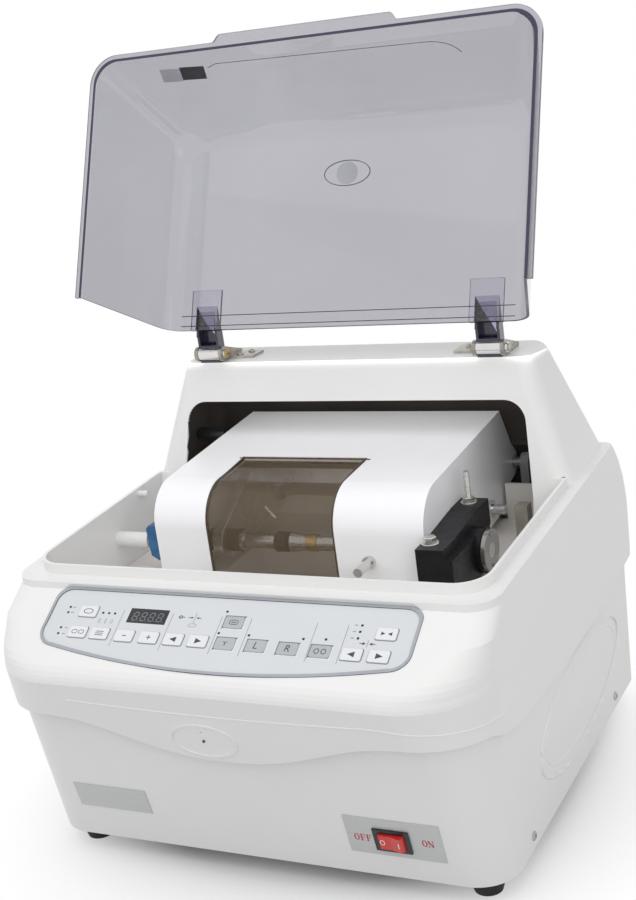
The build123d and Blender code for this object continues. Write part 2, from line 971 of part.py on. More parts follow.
# Base plate, its posts, the feet and the side screws
plate_top = plate_bottom_z + plate_thickness
feet = [(x, y) for x in (-foot_x, foot_x) for y in (foot_front_y, foot_rear_y)]
screw_ys = (side_screw_front_y, side_screw_rear_y)
tab_inner = lower_bottom_half - wall - tab_plate
with BuildPart() as base_plate:
    inside = lower_form(wall)
    add(inside & block(-half_width, half_width, -half_depth, half_depth, plate_bottom_z, plate_top))
    for y in screw_ys:
        front, rear = y - tab_length / 2, y + tab_length / 2
        for left, right in ((-half_width, -tab_inner), (tab_inner, half_width)):
            tab = block(left, right, front, rear, plate_bottom_z, plate_bottom_z + tab_height)
            add(inside & tab)
        add(rod_x(screw_radius, -half_width, half_width, y, side_screw_z), mode=Mode.SUBTRACT)
    # Cradle under the motor
    front, rear = motor_y - cradle_half, motor_y + cradle_half
    add(block(cradle_left, cradle_right, front, rear, plate_top, cradle_top_z))
    add(rod_x(motor_radius, motor_left, motor_right, motor_y, motor_z), mode=Mode.SUBTRACT)

with BuildPart() as rubber_feet:
    with BuildSketch(level):
        with Locations(*feet):
            Circle(foot_radius - foot_taper)
    extrude(amount=floor_gap, taper=-degrees(atan2(foot_taper, floor_gap)))
    with BuildSketch(level.offset(floor_gap)):
        with Locations(*feet):
            Circle(foot_neck)
    extrude(amount=plate_bottom_z - floor_gap)

tray_bottom = tray_floor_z - tray_wall
with BuildPart() as inner_posts:
    for x in (-pillar_x, pillar_x):
        for y in (pillar_front_y, pillar_rear_y):
            add(rod_z(pillar_radius, x, y, plate_top, tray_bottom))
    for left in (pivot_post_left, pivot_post_right):
        right = left + pivot_post_thickness
        add(rod_x(pivot_lug, left, right, pivot_y, pivot_z))
        add(block(left, right, pivot_y - pivot_lug, pivot_y + pivot_lug, plate_top, pivot_z))
        add(rod_x(pivot_radius, left, right, pivot_y, pivot_z), mode=Mode.SUBTRACT)

# Water tray with the wheel basin
spindle_end = pulley_left + pulley_width
wheel_left_wall = basin_left + tray_wall
with BuildPart() as wheel_tray:
    add(well_prism(-clearance, tray_bottom, tray_floor_z, well_rear))
    outer = well_half - clearance
    for left, right, top in (
        (-outer, cover_left - tray_gap, tray_rear_z),
        (cover_left + cover_wall + tray_gap, cover_right - cover_wall - tray_gap, tray_inner_z),
        (cover_right + tray_gap, outer, tray_rear_z),
    ):
        add(block(left, right, well_rear - tray_wall, well_rear, tray_bottom, top))
    add(block(basin_left, basin_right, -basin_half, basin_half, basin_bottom_z, tray_floor_z))
    add(
        block(
            basin_left + tray_wall,
            basin_right - tray_wall,
            tray_wall - basin_half,
            basin_half - tray_wall,
            basin_bottom_z + tray_wall,
            tray_floor_z,
        ),
        mode=Mode.SUBTRACT,
    )
    add(rod_x(bearing_radius, wheel_left_wall, wheel_left_wall + bearing_length, wheel_y, wheel_z))
    add(rod_x(bearing_radius, basin_right - tray_wall, basin_right + bearing_length, wheel_y, wheel_z))
    bore = spindle_radius + running_gap
    add(rod_x(bore, spindle_left - clearance, spindle_end, wheel_y, wheel_z), mode=Mode.SUBTRACT)

with BuildPart() as tray_posts:
    reach = post_size / 2
    front, rear = post_y - reach, post_y + reach
    add(block(post_x - reach, post_x + reach, front, rear, tray_floor_z, tray_floor_z + post_height))
    add(rod_z(stop_radius, stop_x, stop_y, tray_floor_z, casting_block_bottom - running_gap))

# Grinding wheels on their spindle
fine_left = rough_left + rough_width
bevel_left = fine_left + fine_width
nut_left = bevel_left + bevel_width
with BuildPart() as rough_wheel:
    add(rod_x(wheel_radius, rough_left, fine_left, wheel_y, wheel_z))
    add(rod_x(spindle_radius, rough_left, fine_left, wheel_y, wheel_z), mode=Mode.SUBTRACT)

with BuildPart() as finishing_wheel:
    with BuildSketch(front_view.offset(-wheel_y)):
        with BuildLine():
            middle = bevel_left + bevel_width / 2
            rim_z = wheel_z + wheel_radius
            Polyline(
                (fine_left, wheel_z + spindle_radius),
                (fine_left, rim_z),
                (middle - bevel_groove, rim_z),
                (middle, rim_z - bevel_groove),
                (middle + bevel_groove, rim_z),
                (nut_left, rim_z),
                (nut_left, wheel_z + spindle_radius),
                close=True,
            )
        make_face()
    revolve(axis=Axis((0, wheel_y, wheel_z), (1, 0, 0)))

with BuildPart() as wheel_spindle:
    add(rod_x(spindle_radius, spindle_left, spindle_end, wheel_y, wheel_z))
    add(rod_x(spindle_collar_radius, rough_left - spindle_collar, rough_left, wheel_y, wheel_z))
    # Nut that clamps the wheels
    with BuildSketch(side.offset(nut_left)):
        with Locations((wheel_y, wheel_z)):
            RegularPolygon(spindle_nut_flats / 2, 6, major_radius=False)
            Circle(spindle_radius, mode=Mode.SUBTRACT)
    extrude(amount=spindle_nut)


def pulley(radius, y, z, bore):
    """A flat-belt pulley with a lip at each side."""
    with BuildPart() as solid:
        add(rod_x(radius, pulley_left, spindle_end, y, z))
        add(rod_x(radius + pulley_lip, pulley_left, pulley_left + pulley_flange, y, z))
        add(rod_x(radius + pulley_lip, spindle_end - pulley_flange, spindle_end, y, z))
        add(rod_x(bore, pulley_left, spindle_end, y, z), mode=Mode.SUBTRACT)
    return solid.part


with BuildPart() as spindle_pulley:
    add(pulley(spindle_pulley_radius, wheel_y, wheel_z, spindle_radius))

with BuildPart() as motor_pulley:
    add(pulley(motor_pulley_radius, motor_y, motor_z, motor_shaft_radius))

with BuildPart() as drive_belt:
    belt_left = pulley_left + (pulley_width - belt_width) / 2
    for grow, mode in ((clearance + belt_thickness, Mode.ADD), (clearance, Mode.SUBTRACT)):
        loop = hull_x(
            [
                (wheel_y, wheel_z, spindle_pulley_radius + grow),
                (motor_y, motor_z, motor_pulley_radius + grow),
            ],
            belt_left,
            belt_left + belt_width,
        )
        add(loop, mode=mode)

with BuildPart() as wheel_motor:
    add(rod_x(motor_radius, motor_left, motor_right, motor_y, motor_z))
    add(rod_x(motor_nose_radius, motor_right, motor_right + motor_nose, motor_y, motor_z))
    nose_right = motor_right + motor_nose
    shaft_left = nose_right - motor_shaft_depth
    add(
        rod_x(motor_shaft_radius + running_gap, shaft_left - clearance, nose_right, motor_y, motor_z),
        mode=Mode.SUBTRACT,
    )

with BuildPart() as motor_shaft:
    add(rod_x(motor_shaft_radius, shaft_left, spindle_end, motor_y, motor_z))

# Carriage: cheeks on the pivot shaft, with a bar that holds the cover
cover_arc_y = cover_front + cover_round
top_turn = 90 - cover_slope


def cover_outline(grow):
    """The side outline of the carriage cover, in Y and Z, grown by an amount."""
    back_z = pivot_z - cover_step / 3
    with BuildSketch() as outline:
        with BuildLine():
            front = Line((cover_front, cover_bottom_z), (cover_front, cover_round_z))
            bend = JernArc(front @ 1, (0, 1), cover_round, -top_turn)
            Polyline(
                bend @ 1,
                (cover_rear_y, cover_rear_z),
                (cover_rear_y + (cover_back_y - cover_rear_y) * back_shares[0], pivot_z + cover_lift),
                (cover_back_y - cover_wall / 2, pivot_z + cover_wall * 2),
                (cover_back_y, back_z),
                (cover_back_y - cover_wall * 2, pivot_z - cover_step),
                (cover_belly_y, pivot_z - cover_step - cover_wall),
                (cover_belly_y, cover_bottom_z + cover_wall * 2),
                (cover_belly_y - (cover_belly_y - cover_arc_y) * back_shares[1], cover_bottom_z),
                front @ 0,
            )
        make_face()
        if grow:
            offset(amount=grow)
    return outline.sketch


cover_skin = outline_out(side, cover_outline(0), cover_left, cover_right)
window_z = cover_round_z + cover_round * cos(radians(cover_slope)) + (
    window_top_y - cover_arc_y + cover_round * sin(radians(cover_slope))
) * tan(radians(cover_slope))
hinge_pin_z = window_z - window_barrel
window_cut_y = window_top_y + window_barrel + clearance
cover_inside = (cover_left + cover_wall, cover_right - cover_wall)
cover_hollow = outline_out(side, cover_outline(-cover_wall), *cover_inside)
with BuildPart() as carriage_cover:
    add(cover_skin)
    add(cover_hollow, mode=Mode.SUBTRACT)
    # Open bottom and back, window, bores
    add(
        block(
            cover_left + cover_wall,
            cover_right - cover_wall,
            cover_front + cover_wall,
            cover_back_y + overrun,
            cover_bottom_z - overrun,
            pivot_z - cover_step - cover_wall * 2,
        ),
        mode=Mode.SUBTRACT,
    )
    add(
        block(
            cover_left + cover_wall,
            cover_right - cover_wall,
            cover_belly_y - cover_wall,
            cover_back_y + overrun,
            cover_bottom_z - overrun,
            pivot_z + cover_lift,
        ),
        mode=Mode.SUBTRACT,
    )
    front, low = cover_front - overrun, cover_bottom_z - overrun
    add(
        block(window_left, window_right, front, window_cut_y, low, cover_rear_z), mode=Mode.SUBTRACT
    )
    reach = (window_left - window_pin_length - clearance, window_right + window_pin_length + clearance)
    add(rod_x(window_pin + running_gap, *reach, window_top_y, hinge_pin_z), mode=Mode.SUBTRACT)
    add(rod_x(pivot_radius + pivot_bore_gap, cover_left, cover_right, pivot_y, pivot_z), mode=Mode.SUBTRACT)
    bore = shaft_radius + pivot_bore_gap
    add(rod_x(bore, cover_right - cover_wall, cover_right, lens_y, lens_z), mode=Mode.SUBTRACT)
    hole_origin = (lift_pin_x, cover_front + cover_wall, lift_pin_z)
    pin_hole = Plane(origin=hole_origin, x_dir=(1, 0, 0), z_dir=(0, -1, 0))
    add(rod_out(pin_hole, lift_pin_radius, 0, 0, 0, cover_wall), mode=Mode.SUBTRACT)
    add(
        rod_x(knob_stem, cover_left, cover_left + cover_wall, knob_y, knob_z), mode=Mode.SUBTRACT
    )
    add(
        rod_x(fitting_radius, cover_right - cover_wall, cover_right, fitting_y, fitting_z), mode=Mode.SUBTRACT
    )

with BuildPart() as viewing_window:
    sides = (window_left + clearance, window_right - clearance)
    add(outline_out(side, cover_outline(0), *sides))
    add(outline_out(side, cover_outline(-window_thickness), *sides), mode=Mode.SUBTRACT)
    window_low_z = cover_bottom_z + window_thickness + clearance
    front_part = block(*sides, cover_front - overrun, window_top_y, window_low_z, cover_rear_z)
    add(front_part, mode=Mode.INTERSECT)
    add(rod_x(window_barrel, *sides, window_top_y, hinge_pin_z))
    pins = (window_left - window_pin_length, window_right + window_pin_length)
    add(rod_x(window_pin, *pins, window_top_y, hinge_pin_z))

with BuildPart() as carriage_frame:
    circles = [(lens_y, lens_z, cheek_radius), (pivot_y, pivot_z, pivot_lug), (bar_y, bar_z, bar_size / 2)]
    for left in (left_cheek_x, right_cheek_x):
        add(hull_x(circles, left, left + cheek_thickness))
    reach = bar_size / 2
    ends = (cover_left + cover_wall, cover_right - cover_wall)
    add(block(*ends, bar_y - reach, bar_y + reach, bar_z - reach, bar_z + reach))
    left_end, right_end = left_cheek_x, right_cheek_x + cheek_thickness
    add(rod_x(pivot_radius + running_gap, left_end, right_end, pivot_y, pivot_z), mode=Mode.SUBTRACT)
    add(
        rod_x(sleeve_radius + running_gap, left_end, left_end + cheek_thickness, lens_y, lens_z),
        mode=Mode.SUBTRACT,
    )
    add(rod_x(shaft_radius + running_gap, right_cheek_x, right_end, lens_y, lens_z), mode=Mode.SUBTRACT)

with BuildPart() as pivot_shaft:
    ends = (pivot_post_left, pivot_post_right + pivot_post_thickness)
    add(rod_x(pivot_radius, *ends, pivot_y, pivot_z))

# Lens shafts with the chuck and the pattern end
with BuildPart() as chuck_sleeve:
    add(rod_x(sleeve_radius, sleeve_left, sleeve_right, lens_y, lens_z))
    add(
        rod_x(shaft_radius + running_gap, sleeve_left, sleeve_right, lens_y, lens_z), mode=Mode.SUBTRACT
    )

with BuildPart() as lens_shaft_left:
    collar_left = sleeve_left - clearance - sleeve_collar
    collar_right = sleeve_right + clearance + sleeve_collar
    add(rod_x(shaft_radius, collar_left, pad_left, lens_y, lens_z))
    add(rod_x(sleeve_collar_radius, collar_left, sleeve_left - clearance, lens_y, lens_z))
    add(rod_x(sleeve_collar_radius, sleeve_right + clearance, collar_right, lens_y, lens_z))

with BuildPart() as lens_pad:
    add(rod_x(pad_radius, pad_left, pad_right, lens_y, lens_z))

nose_end = chuck_left + chuck_nose
cup_right = nose_end + cup_length
with BuildPart() as lens_shaft_right:
    add(rod_x(shaft_radius, cup_right, disc_left + disc_thickness, lens_y, lens_z))
    add(rod_x(cup_bore, nose_end, cup_right, lens_y, lens_z))
    with BuildSketch(side.offset(chuck_left)):
        with Locations((lens_y, lens_z)):
            Circle(chuck_radius)
    with BuildSketch(side.offset(nose_end)):
        with Locations((lens_y, lens_z)):
            Circle(shaft_radius)
    loft()

with BuildPart() as lens_cup:
    add(rod_x(cup_radius, nose_end, cup_right, lens_y, lens_z))
    add(rod_x(cup_bore, nose_end, cup_right, lens_y, lens_z), mode=Mode.SUBTRACT)

with BuildPart() as pattern_holder:
    add(rod_x(disc_radius, disc_left, disc_left + disc_thickness, lens_y, lens_z))
    for sign in (-1, 1):
        place = (lens_y, lens_z + sign * disc_pin_reach)
        add(rod_x(disc_pin_radius, disc_left, disc_left + disc_thickness + disc_pin_height, *place))
    add(rod_x(shaft_radius, disc_left, disc_left + disc_thickness, lens_y, lens_z), mode=Mode.SUBTRACT)

with BuildPart() as pattern_housing:
    with BuildSketch(side.offset(cover_right)):
        with BuildLine():
            Polyline(
                (casting_ear_front, casting_block_bottom),
                (casting_ear_front, casting_ear_top),
                (casting_ear_rear, casting_ear_top),
                (casting_apex_front, casting_apex_top),
                (casting_apex_rear, casting_apex_top),
                (casting_apex_rear, casting_apex_top - casting_apex_depth),
                (casting_block_rear, casting_block_bottom),
                close=True,
            )
        make_face()
    extrude(amount=casting_web)
    add(
        block(
            cover_right,
            casting_ear_right,
            casting_ear_front,
            casting_ear_rear,
            casting_block_bottom,
            casting_ear_top,
        )
    )
    add(
        block(
            cover_right,
            casting_block_right,
            casting_ear_front,
            casting_block_rear,
            casting_block_bottom,
            casting_block_top,
        )
    )
    add(rod_x(casting_boss_radius, cover_right, casting_boss_right, lens_y, lens_z))
    bore = shaft_radius + pivot_bore_gap
    add(rod_x(bore, cover_right, casting_boss_right, lens_y, lens_z), mode=Mode.SUBTRACT)
    for x, y, top, depth in (
        (bolt_x, bolt_y, casting_ear_top, bolt_depth),
        (stud_x, stud_y, casting_apex_top, stud_depth),
    ):
        add(rod_z(bolt_radius, x, y, top - depth, top), mode=Mode.SUBTRACT)


def hexagon(x, y, low, high):
    """A six-sided head or nut."""
    with BuildPart() as solid:
        with BuildSketch(level.offset(low)):
            with Locations((x, y)):
                RegularPolygon(bolt_head, 6)
        extrude(amount=high - low)
    return solid.part


with BuildPart() as housing_fasteners:
    for x, y, top, depth, rise in (
        (bolt_x, bolt_y, casting_ear_top, bolt_depth, washer_thickness),
        (stud_x, stud_y, casting_apex_top, stud_depth, stud_height),
    ):
        add(rod_z(bolt_radius, x, y, top - depth, top + rise))
        add(rod_z(washer_radius, x, y, top, top + washer_thickness))
        add(hexagon(x, y, top + washer_thickness, top + washer_thickness + bolt_head_height))

with BuildPart() as cover_fittings:
    add(rod_out(pin_hole, lift_pin_radius, 0, 0, 0, cover_wall + lift_pin_reach))
    add(rod_out(pin_hole, lift_pin_collar, 0, 0, cover_wall, cover_wall + lift_pin_collar_length))
    add(rod_x(fitting_radius, cover_right - cover_wall, cover_right + fitting_length, fitting_y, fitting_z))
    add(rod_x(fitting_flange, cover_right, cover_right + fitting_flange_thickness, fitting_y, fitting_z))

with BuildPart() as side_knob:
    add(rod_x(knob_radius, knob_left, cover_left - knob_stem_length, knob_y, knob_z))
    add(rod_x(knob_stem, cover_left - knob_stem_length, cover_left + cover_wall, knob_y, knob_z))

# Water valve with its lever, the lid switch, the rear inlet and water ports
with BuildPart() as well_fittings:
    add(rod_x(valve_radius, -well_half, valve_right, valve_y, valve_z))
    add(rod_x(valve_stem, valve_right, lever_right, valve_y, valve_z))
    add(rod_x(sensor_radius, -well_half, sensor_length - well_half, sensor_y, sensor_z))

with BuildPart() as valve_lever:
    low = (valve_y, valve_z - lever_reach + lever_thickness, lever_thickness)
    high = (valve_y, valve_z + lever_reach - lever_thickness, lever_thickness)
    add(hull_x([low, (valve_y, valve_z, lever_hub), high], lever_left, lever_right))
    add(rod_x(valve_stem + running_gap, lever_left, lever_right, valve_y, valve_z), mode=Mode.SUBTRACT)

rear_wall_y = lower_bottom_rear + (inlet_z - floor_gap) * (lower_top_rear - lower_bottom_rear) / (
    lower_top_z - floor_gap
)
with BuildPart() as rear_connections:
    half = inlet_width / 2
    rise = inlet_height / 2
    lip = inlet_lip
    lip_y = rear_wall_y + inlet_lip_thickness / 2
    add(block(inlet_x - half, inlet_x + half, lip_y - inlet_depth, lip_y, inlet_z - rise, inlet_z + rise))
    add(
        block(
            inlet_x - half - lip,
            inlet_x + half + lip,
            lip_y,
            lip_y + inlet_lip_thickness,
            inlet_z - rise - lip,
            inlet_z + rise + lip,
        )
    )
    add(
        block(
            inlet_x - half + lip,
            inlet_x + half - lip,
            lip_y - inlet_depth + 2 * lip,
            half_depth,
            inlet_z - rise + lip,
            inlet_z + rise - lip,
        ),
        mode=Mode.SUBTRACT,
    )

    with BuildSketch(front_view.offset(port_depth - rear_wall_y)):
        with Locations((port_x - port_spacing / 2, port_z), (port_x + port_spacing / 2, port_z)):
            Circle(port_radius)
            Circle(port_bore, mode=Mode.SUBTRACT)
    extrude(amount=-port_depth - port_reach)

# Lid, modelled closed on a plane that rises with the rim, then swung open
rise = radians(rim_rise)
lid_base_z = rising(ledge_z, lid_front) + lid_seat_gap
lid_plane = Plane(origin=(0, lid_front, lid_base_z), x_dir=(1, 0, 0), z_dir=(0, -sin(rise), cos(rise)))
hinge_axis = Axis((0, hinge_y, hinge_z), (1, 0, 0))


def lid_point(u, w):
    """Y and Z of a place given along the lid's base and up from it."""
    return lid_front + u * cos(rise) - w * sin(rise), lid_base_z + u * sin(rise) + w * cos(rise)


def lid_inset(w, lean, top, bend):
    """How far a leaning wall with a rounded top edge has come in at a height."""
    angle = atan2(lean, 1)
    turn_w = top - bend + bend * sin(angle)
    if w <= turn_w:
        return w * lean
    over = w - top + bend
    return turn_w * lean + bend * cos(angle) - sqrt(max(bend**2 - over**2, 0))


def lid_form(inset):
    """The closed lid's outer form, drawn in by an inset, running on past its rear edge."""
    top, bend = lid_height - inset, lid_edge_round - inset
    side_lean = (lid_base_half - lid_top_half) / lid_height
    front_lean_share = lid_front_lean / lid_height
    with BuildPart() as form:
        for share in lid_level_shares:
            w = top - bend + bend * share if share >= 0 else 0
            half = lid_base_half - inset - lid_inset(w, side_lean, top, bend)
            front = inset + lid_inset(w, front_lean_share, top, bend)
            with BuildSketch(lid_plane.offset(w)):
                with BuildLine():
                    rounded_outline(-half, half, front, body_depth, lid_corner, wall)
                make_face()
        loft(ruled=True)
    return form.part


rear_low_z = rising(ledge_z, lid_rear_base)
rear_high_z = rear_low_z + lid_height
over_share = overrun / lid_height
lean_out = lid_rear_lean * over_share
behind_lid = prism_yz(
    [
        (lid_rear_base - lean_out, rear_low_z - overrun),
        (lid_rear_base + lid_rear_lean + lean_out, rear_high_z + overrun),
        (2 * body_depth, rear_high_z + overrun),
        (2 * body_depth, rear_low_z - overrun),
    ],
    -body_width,
    body_width,
)


def opened(closed_part):
    """A piece of the lid, swung from closed to fully open."""
    return closed_part.rotate(hinge_axis, -lid_travel)


lid_inner = lid_form(lid_wall)
with BuildPart() as closed_lid:
    add(lid_form(0))
    with BuildSketch(lid_plane):
        with BuildLine():
            half = lid_base_half + lid_flange
            rounded_outline(-half, half, -lid_flange, body_depth, lid_corner + lid_flange, wall)
        make_face()
    extrude(amount=lid_wall)
    with BuildSketch(lid_plane):
        with Locations((0, -lid_flange)):
            RectangleRounded(2 * tab_half, 2 * tab_reach, tab_reach - lid_wall)
    extrude(amount=lid_wall)
    with BuildSketch(lid_plane.offset(lid_height)):
        with Locations((0, badge_lid_u)):
            Ellipse(badge_lid_half_length, badge_lid_half_height)
    extrude(amount=badge_proud)
    add(lid_inner, mode=Mode.SUBTRACT)
    with BuildSketch(lid_plane.offset(-lid_wall)):
        with BuildLine():
            half = lid_base_half - lid_wall
            rounded_outline(-half, half, lid_wall, body_depth, lid_corner, wall)
        make_face()
    extrude(amount=2 * lid_wall, mode=Mode.SUBTRACT)
    add(behind_lid, mode=Mode.SUBTRACT)

with BuildPart() as lid:
    add(opened(closed_lid.part))

# Hinges: a hooked arm on the lid round a barrel held by two ears on the hood
hook_radius = barrel_radius + running_gap + arm_wall
top_rear_u = (lid_rear_base + lid_rear_lean - lid_front + lid_height * sin(rise)) / cos(rise)


def hinge_arm(sign):
    """The hooked arm of one hinge, modelled closed and swung open."""
    x = sign * hinge_x
    left, right = x - barrel_length / 2, x + barrel_length / 2
    foot_y, foot_z = lid_point(top_rear_u - pad_length * arm_share, lid_height + arm_wall / 2)
    circles = [(foot_y, foot_z, arm_wall / 2), (hinge_y, hinge_z, hook_radius)]
    pad_points = [
        lid_point(top_rear_u - pad_length, lid_height),
        lid_point(top_rear_u, lid_height),
        lid_point(top_rear_u, lid_height + arm_wall),
        lid_point(top_rear_u - pad_length, lid_height + arm_wall),
    ]
    with BuildPart() as arm:
        add(hull_x(circles, left, right))
        # Hollow between the two ribs, under a thin strap
        shifted = [(foot_y, foot_z - arm_wall, arm_wall / 2), (hinge_y, hinge_z - arm_wall, hook_radius)]
        add(hull_x(shifted, left + arm_wall, right - arm_wall), mode=Mode.SUBTRACT)
        add(rod_x(hook_radius, left, right, hinge_y, hinge_z))
        add(rod_x(barrel_radius + running_gap, left, right, hinge_y, hinge_z), mode=Mode.SUBTRACT)
        # The hook stays open on the side that faces front when the lid is open
        turn = radians(lid_travel)
        mouth_up = (0, -sin(turn), cos(turn))
        with BuildSketch(Plane(origin=(left, hinge_y, hinge_z), x_dir=mouth_up, z_dir=(1, 0, 0))):
            with Locations((0, hook_radius + barrel_radius / 3)):
                Rectangle(4 * hook_radius, 2 * hook_radius)
        extrude(amount=right - left, mode=Mode.SUBTRACT)
        add(prism_yz(pad_points, x - pad_width / 2, x + pad_width / 2))
    return opened(arm.part)


with BuildPart() as hinge_arms:
    add(hinge_arm(-1))
    add(hinge_arm(1))

ear_gap = clearance


def hinge_bracket(sign):
    """Two ears and a foot for one hinge, standing on the hood."""
    x = sign * hinge_x
    inner, outer = x - barrel_length / 2 - ear_gap, x + barrel_length / 2 + ear_gap
    foot_front = hinge_y + hook_radius + arm_wall
    foot_rear = foot_front + bracket_depth
    foot_top = hood_height + bracket_thickness
    left, right = inner - ear_thickness, outer + ear_thickness
    if sign < 0:
        right = right + bracket_flange
    else:
        left = left - bracket_flange
    screws = [
        (
            sign * (hinge_x - barrel_length / 2 - bracket_flange * share),
            foot_front + bracket_depth * depth_share,
        )
        for share, depth_share in bracket_screw_shares
    ]
    with BuildPart() as bracket:
        for low, high in ((inner - ear_thickness, inner), (outer, outer + ear_thickness)):
            corners = [(y, hood_height + ear_foot, ear_foot) for y in (foot_front, foot_rear)]
            add(hull_x([(hinge_y, hinge_z, ear_radius)] + corners, low, high))
        add(block(left, right, foot_front, foot_rear, hood_height, foot_top))
        for low, high in ((inner - ear_thickness, inner), (outer, outer + ear_thickness)):
            add(rod_x(hinge_pin_radius, low, high, hinge_y, hinge_z), mode=Mode.SUBTRACT)
        for x, y in screws:
            add(rod_z(screw_radius, x, y, hood_height, foot_top), mode=Mode.SUBTRACT)
    return bracket.part, screws, foot_top


left_bracket, left_screws, foot_top = hinge_bracket(-1)
right_bracket, right_screws, foot_top = hinge_bracket(1)
with BuildPart() as hinge_brackets:
    add(left_bracket)
    add(right_bracket)

with BuildPart() as hinge_barrels:
    for sign in (-1, 1):
        half = barrel_length / 2 + ear_gap
        add(rod_x(barrel_radius, sign * hinge_x - half, sign * hinge_x + half, hinge_y, hinge_z))
        outer = sign * hinge_x + barrel_length / 2 + ear_gap
        head = outer + ear_thickness
        add(rod_x(hinge_pin_radius, outer, head, hinge_y, hinge_z))
        add(rod_x(hinge_pin_head, head, head + hinge_pin_head_height, hinge_y, hinge_z))

with BuildPart() as pan_head_screws:
    head_x = lower_bottom_half + (side_screw_z + screw_head - floor_gap) * tan(right_lean)
    shank_x = lower_bottom_half - wall - tab_plate
    for y in screw_ys:
        for sign in (-1, 1):
            ends = sorted((sign * shank_x, sign * head_x))
            heads = sorted((sign * head_x, sign * (head_x + screw_head_height)))
            add(rod_x(screw_radius, *ends, y, side_screw_z))
            add(rod_x(screw_head, *heads, y, side_screw_z))
    for x, y in left_screws + right_screws:
        add(rod_z(screw_radius, x, y, hood_height, foot_top))
        add(rod_z(screw_head, x, y, foot_top, foot_top + screw_head_height))

nodes = {
    "upper_housing": upper_housing,
    "lower_housing": lower_housing,
    "base_plate": base_plate,
    "rubber_feet": rubber_feet,
    "pan_head_screws": pan_head_screws,
    "inner_posts": inner_posts,
    "wheel_tray": wheel_tray,
    "tray_posts": tray_posts,
    "front_plates": front_plates,
    "switch_bezel": switch_bezel,
    "switch_rocker": switch_rocker,
    "panel_bezel": panel_bezel,
    "panel_overlay": panel_overlay,
    "display": display,
    "indicator_lamps": indicator_lamps,
    "circuit_board": circuit_board,
    "rough_wheel": rough_wheel,
    "finishing_wheel": finishing_wheel,
    "wheel_spindle": wheel_spindle,
    "spindle_pulley": spindle_pulley,
    "motor_pulley": motor_pulley,
    "drive_belt": drive_belt,
    "wheel_motor": wheel_motor,
    "motor_shaft": motor_shaft,
    "carriage_cover": carriage_cover,
    "viewing_window": viewing_window,
    "carriage_frame": carriage_frame,
    "pivot_shaft": pivot_shaft,
    "chuck_sleeve": chuck_sleeve,
    "lens_shaft_left": lens_shaft_left,
    "lens_pad": lens_pad,
    "lens_shaft_right": lens_shaft_right,
    "lens_cup": lens_cup,
    "pattern_holder": pattern_holder,
    "pattern_housing": pattern_housing,
    "housing_fasteners": housing_fasteners,
    "cover_fittings": cover_fittings,
    "side_knob": side_knob,
    "well_fittings": well_fittings,
    "valve_lever": valve_lever,
    "rear_connections": rear_connections,
    "lid": lid,
    "hinge_arms": hinge_arms,
    "hinge_brackets": hinge_brackets,
    "hinge_barrels": hinge_barrels,
    **keys,
}
for name, node in nodes.items():
    node.part.label = name
    export_step(node.part, f"parts/{name}.step")
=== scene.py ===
import json
import math

import bmesh
import bpy
from mathutils import Matrix, Vector
from mathutils.bvhtree import BVHTree


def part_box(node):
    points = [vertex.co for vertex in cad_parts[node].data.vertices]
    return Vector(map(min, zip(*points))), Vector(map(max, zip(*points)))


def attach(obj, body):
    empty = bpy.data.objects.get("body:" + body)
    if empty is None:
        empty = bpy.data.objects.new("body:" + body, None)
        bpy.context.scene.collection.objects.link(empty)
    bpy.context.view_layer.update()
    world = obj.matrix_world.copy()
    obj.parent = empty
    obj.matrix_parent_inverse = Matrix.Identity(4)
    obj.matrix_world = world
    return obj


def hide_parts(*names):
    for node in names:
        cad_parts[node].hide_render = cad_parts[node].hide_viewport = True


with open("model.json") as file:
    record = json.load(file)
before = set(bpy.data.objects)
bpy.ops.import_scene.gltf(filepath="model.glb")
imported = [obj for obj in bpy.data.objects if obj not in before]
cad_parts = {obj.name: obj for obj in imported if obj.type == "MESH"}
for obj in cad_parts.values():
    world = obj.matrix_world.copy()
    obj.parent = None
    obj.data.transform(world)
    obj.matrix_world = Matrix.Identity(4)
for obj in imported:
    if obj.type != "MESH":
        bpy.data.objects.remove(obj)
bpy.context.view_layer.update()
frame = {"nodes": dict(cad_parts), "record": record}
nodes = frame["nodes"]
scene = bpy.context.scene
MM = 0.001


# ---------------------------------------------------------------- materials
def new_material(name):
    """A node material with one Principled shader in it."""
    mat = bpy.data.materials.new(name)
    mat.use_nodes = True
    tree = mat.node_tree
    tree.nodes.clear()
    out = tree.nodes.new("ShaderNodeOutputMaterial")
    shader = tree.nodes.new("ShaderNodeBsdfPrincipled")
    tree.links.new(shader.outputs[0], out.inputs[0])
    return mat, tree, shader


def noise(tree, coords, scale, detail=3.0, stretch=None):
    """The value of a noise texture, optionally stretched along its axes."""
    if stretch:
        mapping = tree.nodes.new("ShaderNodeMapping")
        mapping.inputs["Scale"].default_value = stretch
        tree.links.new(coords, mapping.inputs["Vector"])
        coords = mapping.outputs[0]
    node = tree.nodes.new("ShaderNodeTexNoise")
    node.inputs["Scale"].default_value = scale
    node.inputs["Detail"].default_value = detail
    tree.links.new(coords, node.inputs["Vector"])
    return node.outputs["Fac"]


def spread(tree, value, low, high, start=0.3, end=0.7):
    """Maps the values from start to end onto those from low to high."""
    node = tree.nodes.new("ShaderNodeMapRange")
    node.inputs["From Min"].default_value = start
    node.inputs["From Max"].default_value = end
    node.inputs["To Min"].default_value = low
    node.inputs["To Max"].default_value = high
    tree.links.new(value, node.inputs["Value"])
    return node.outputs[0]


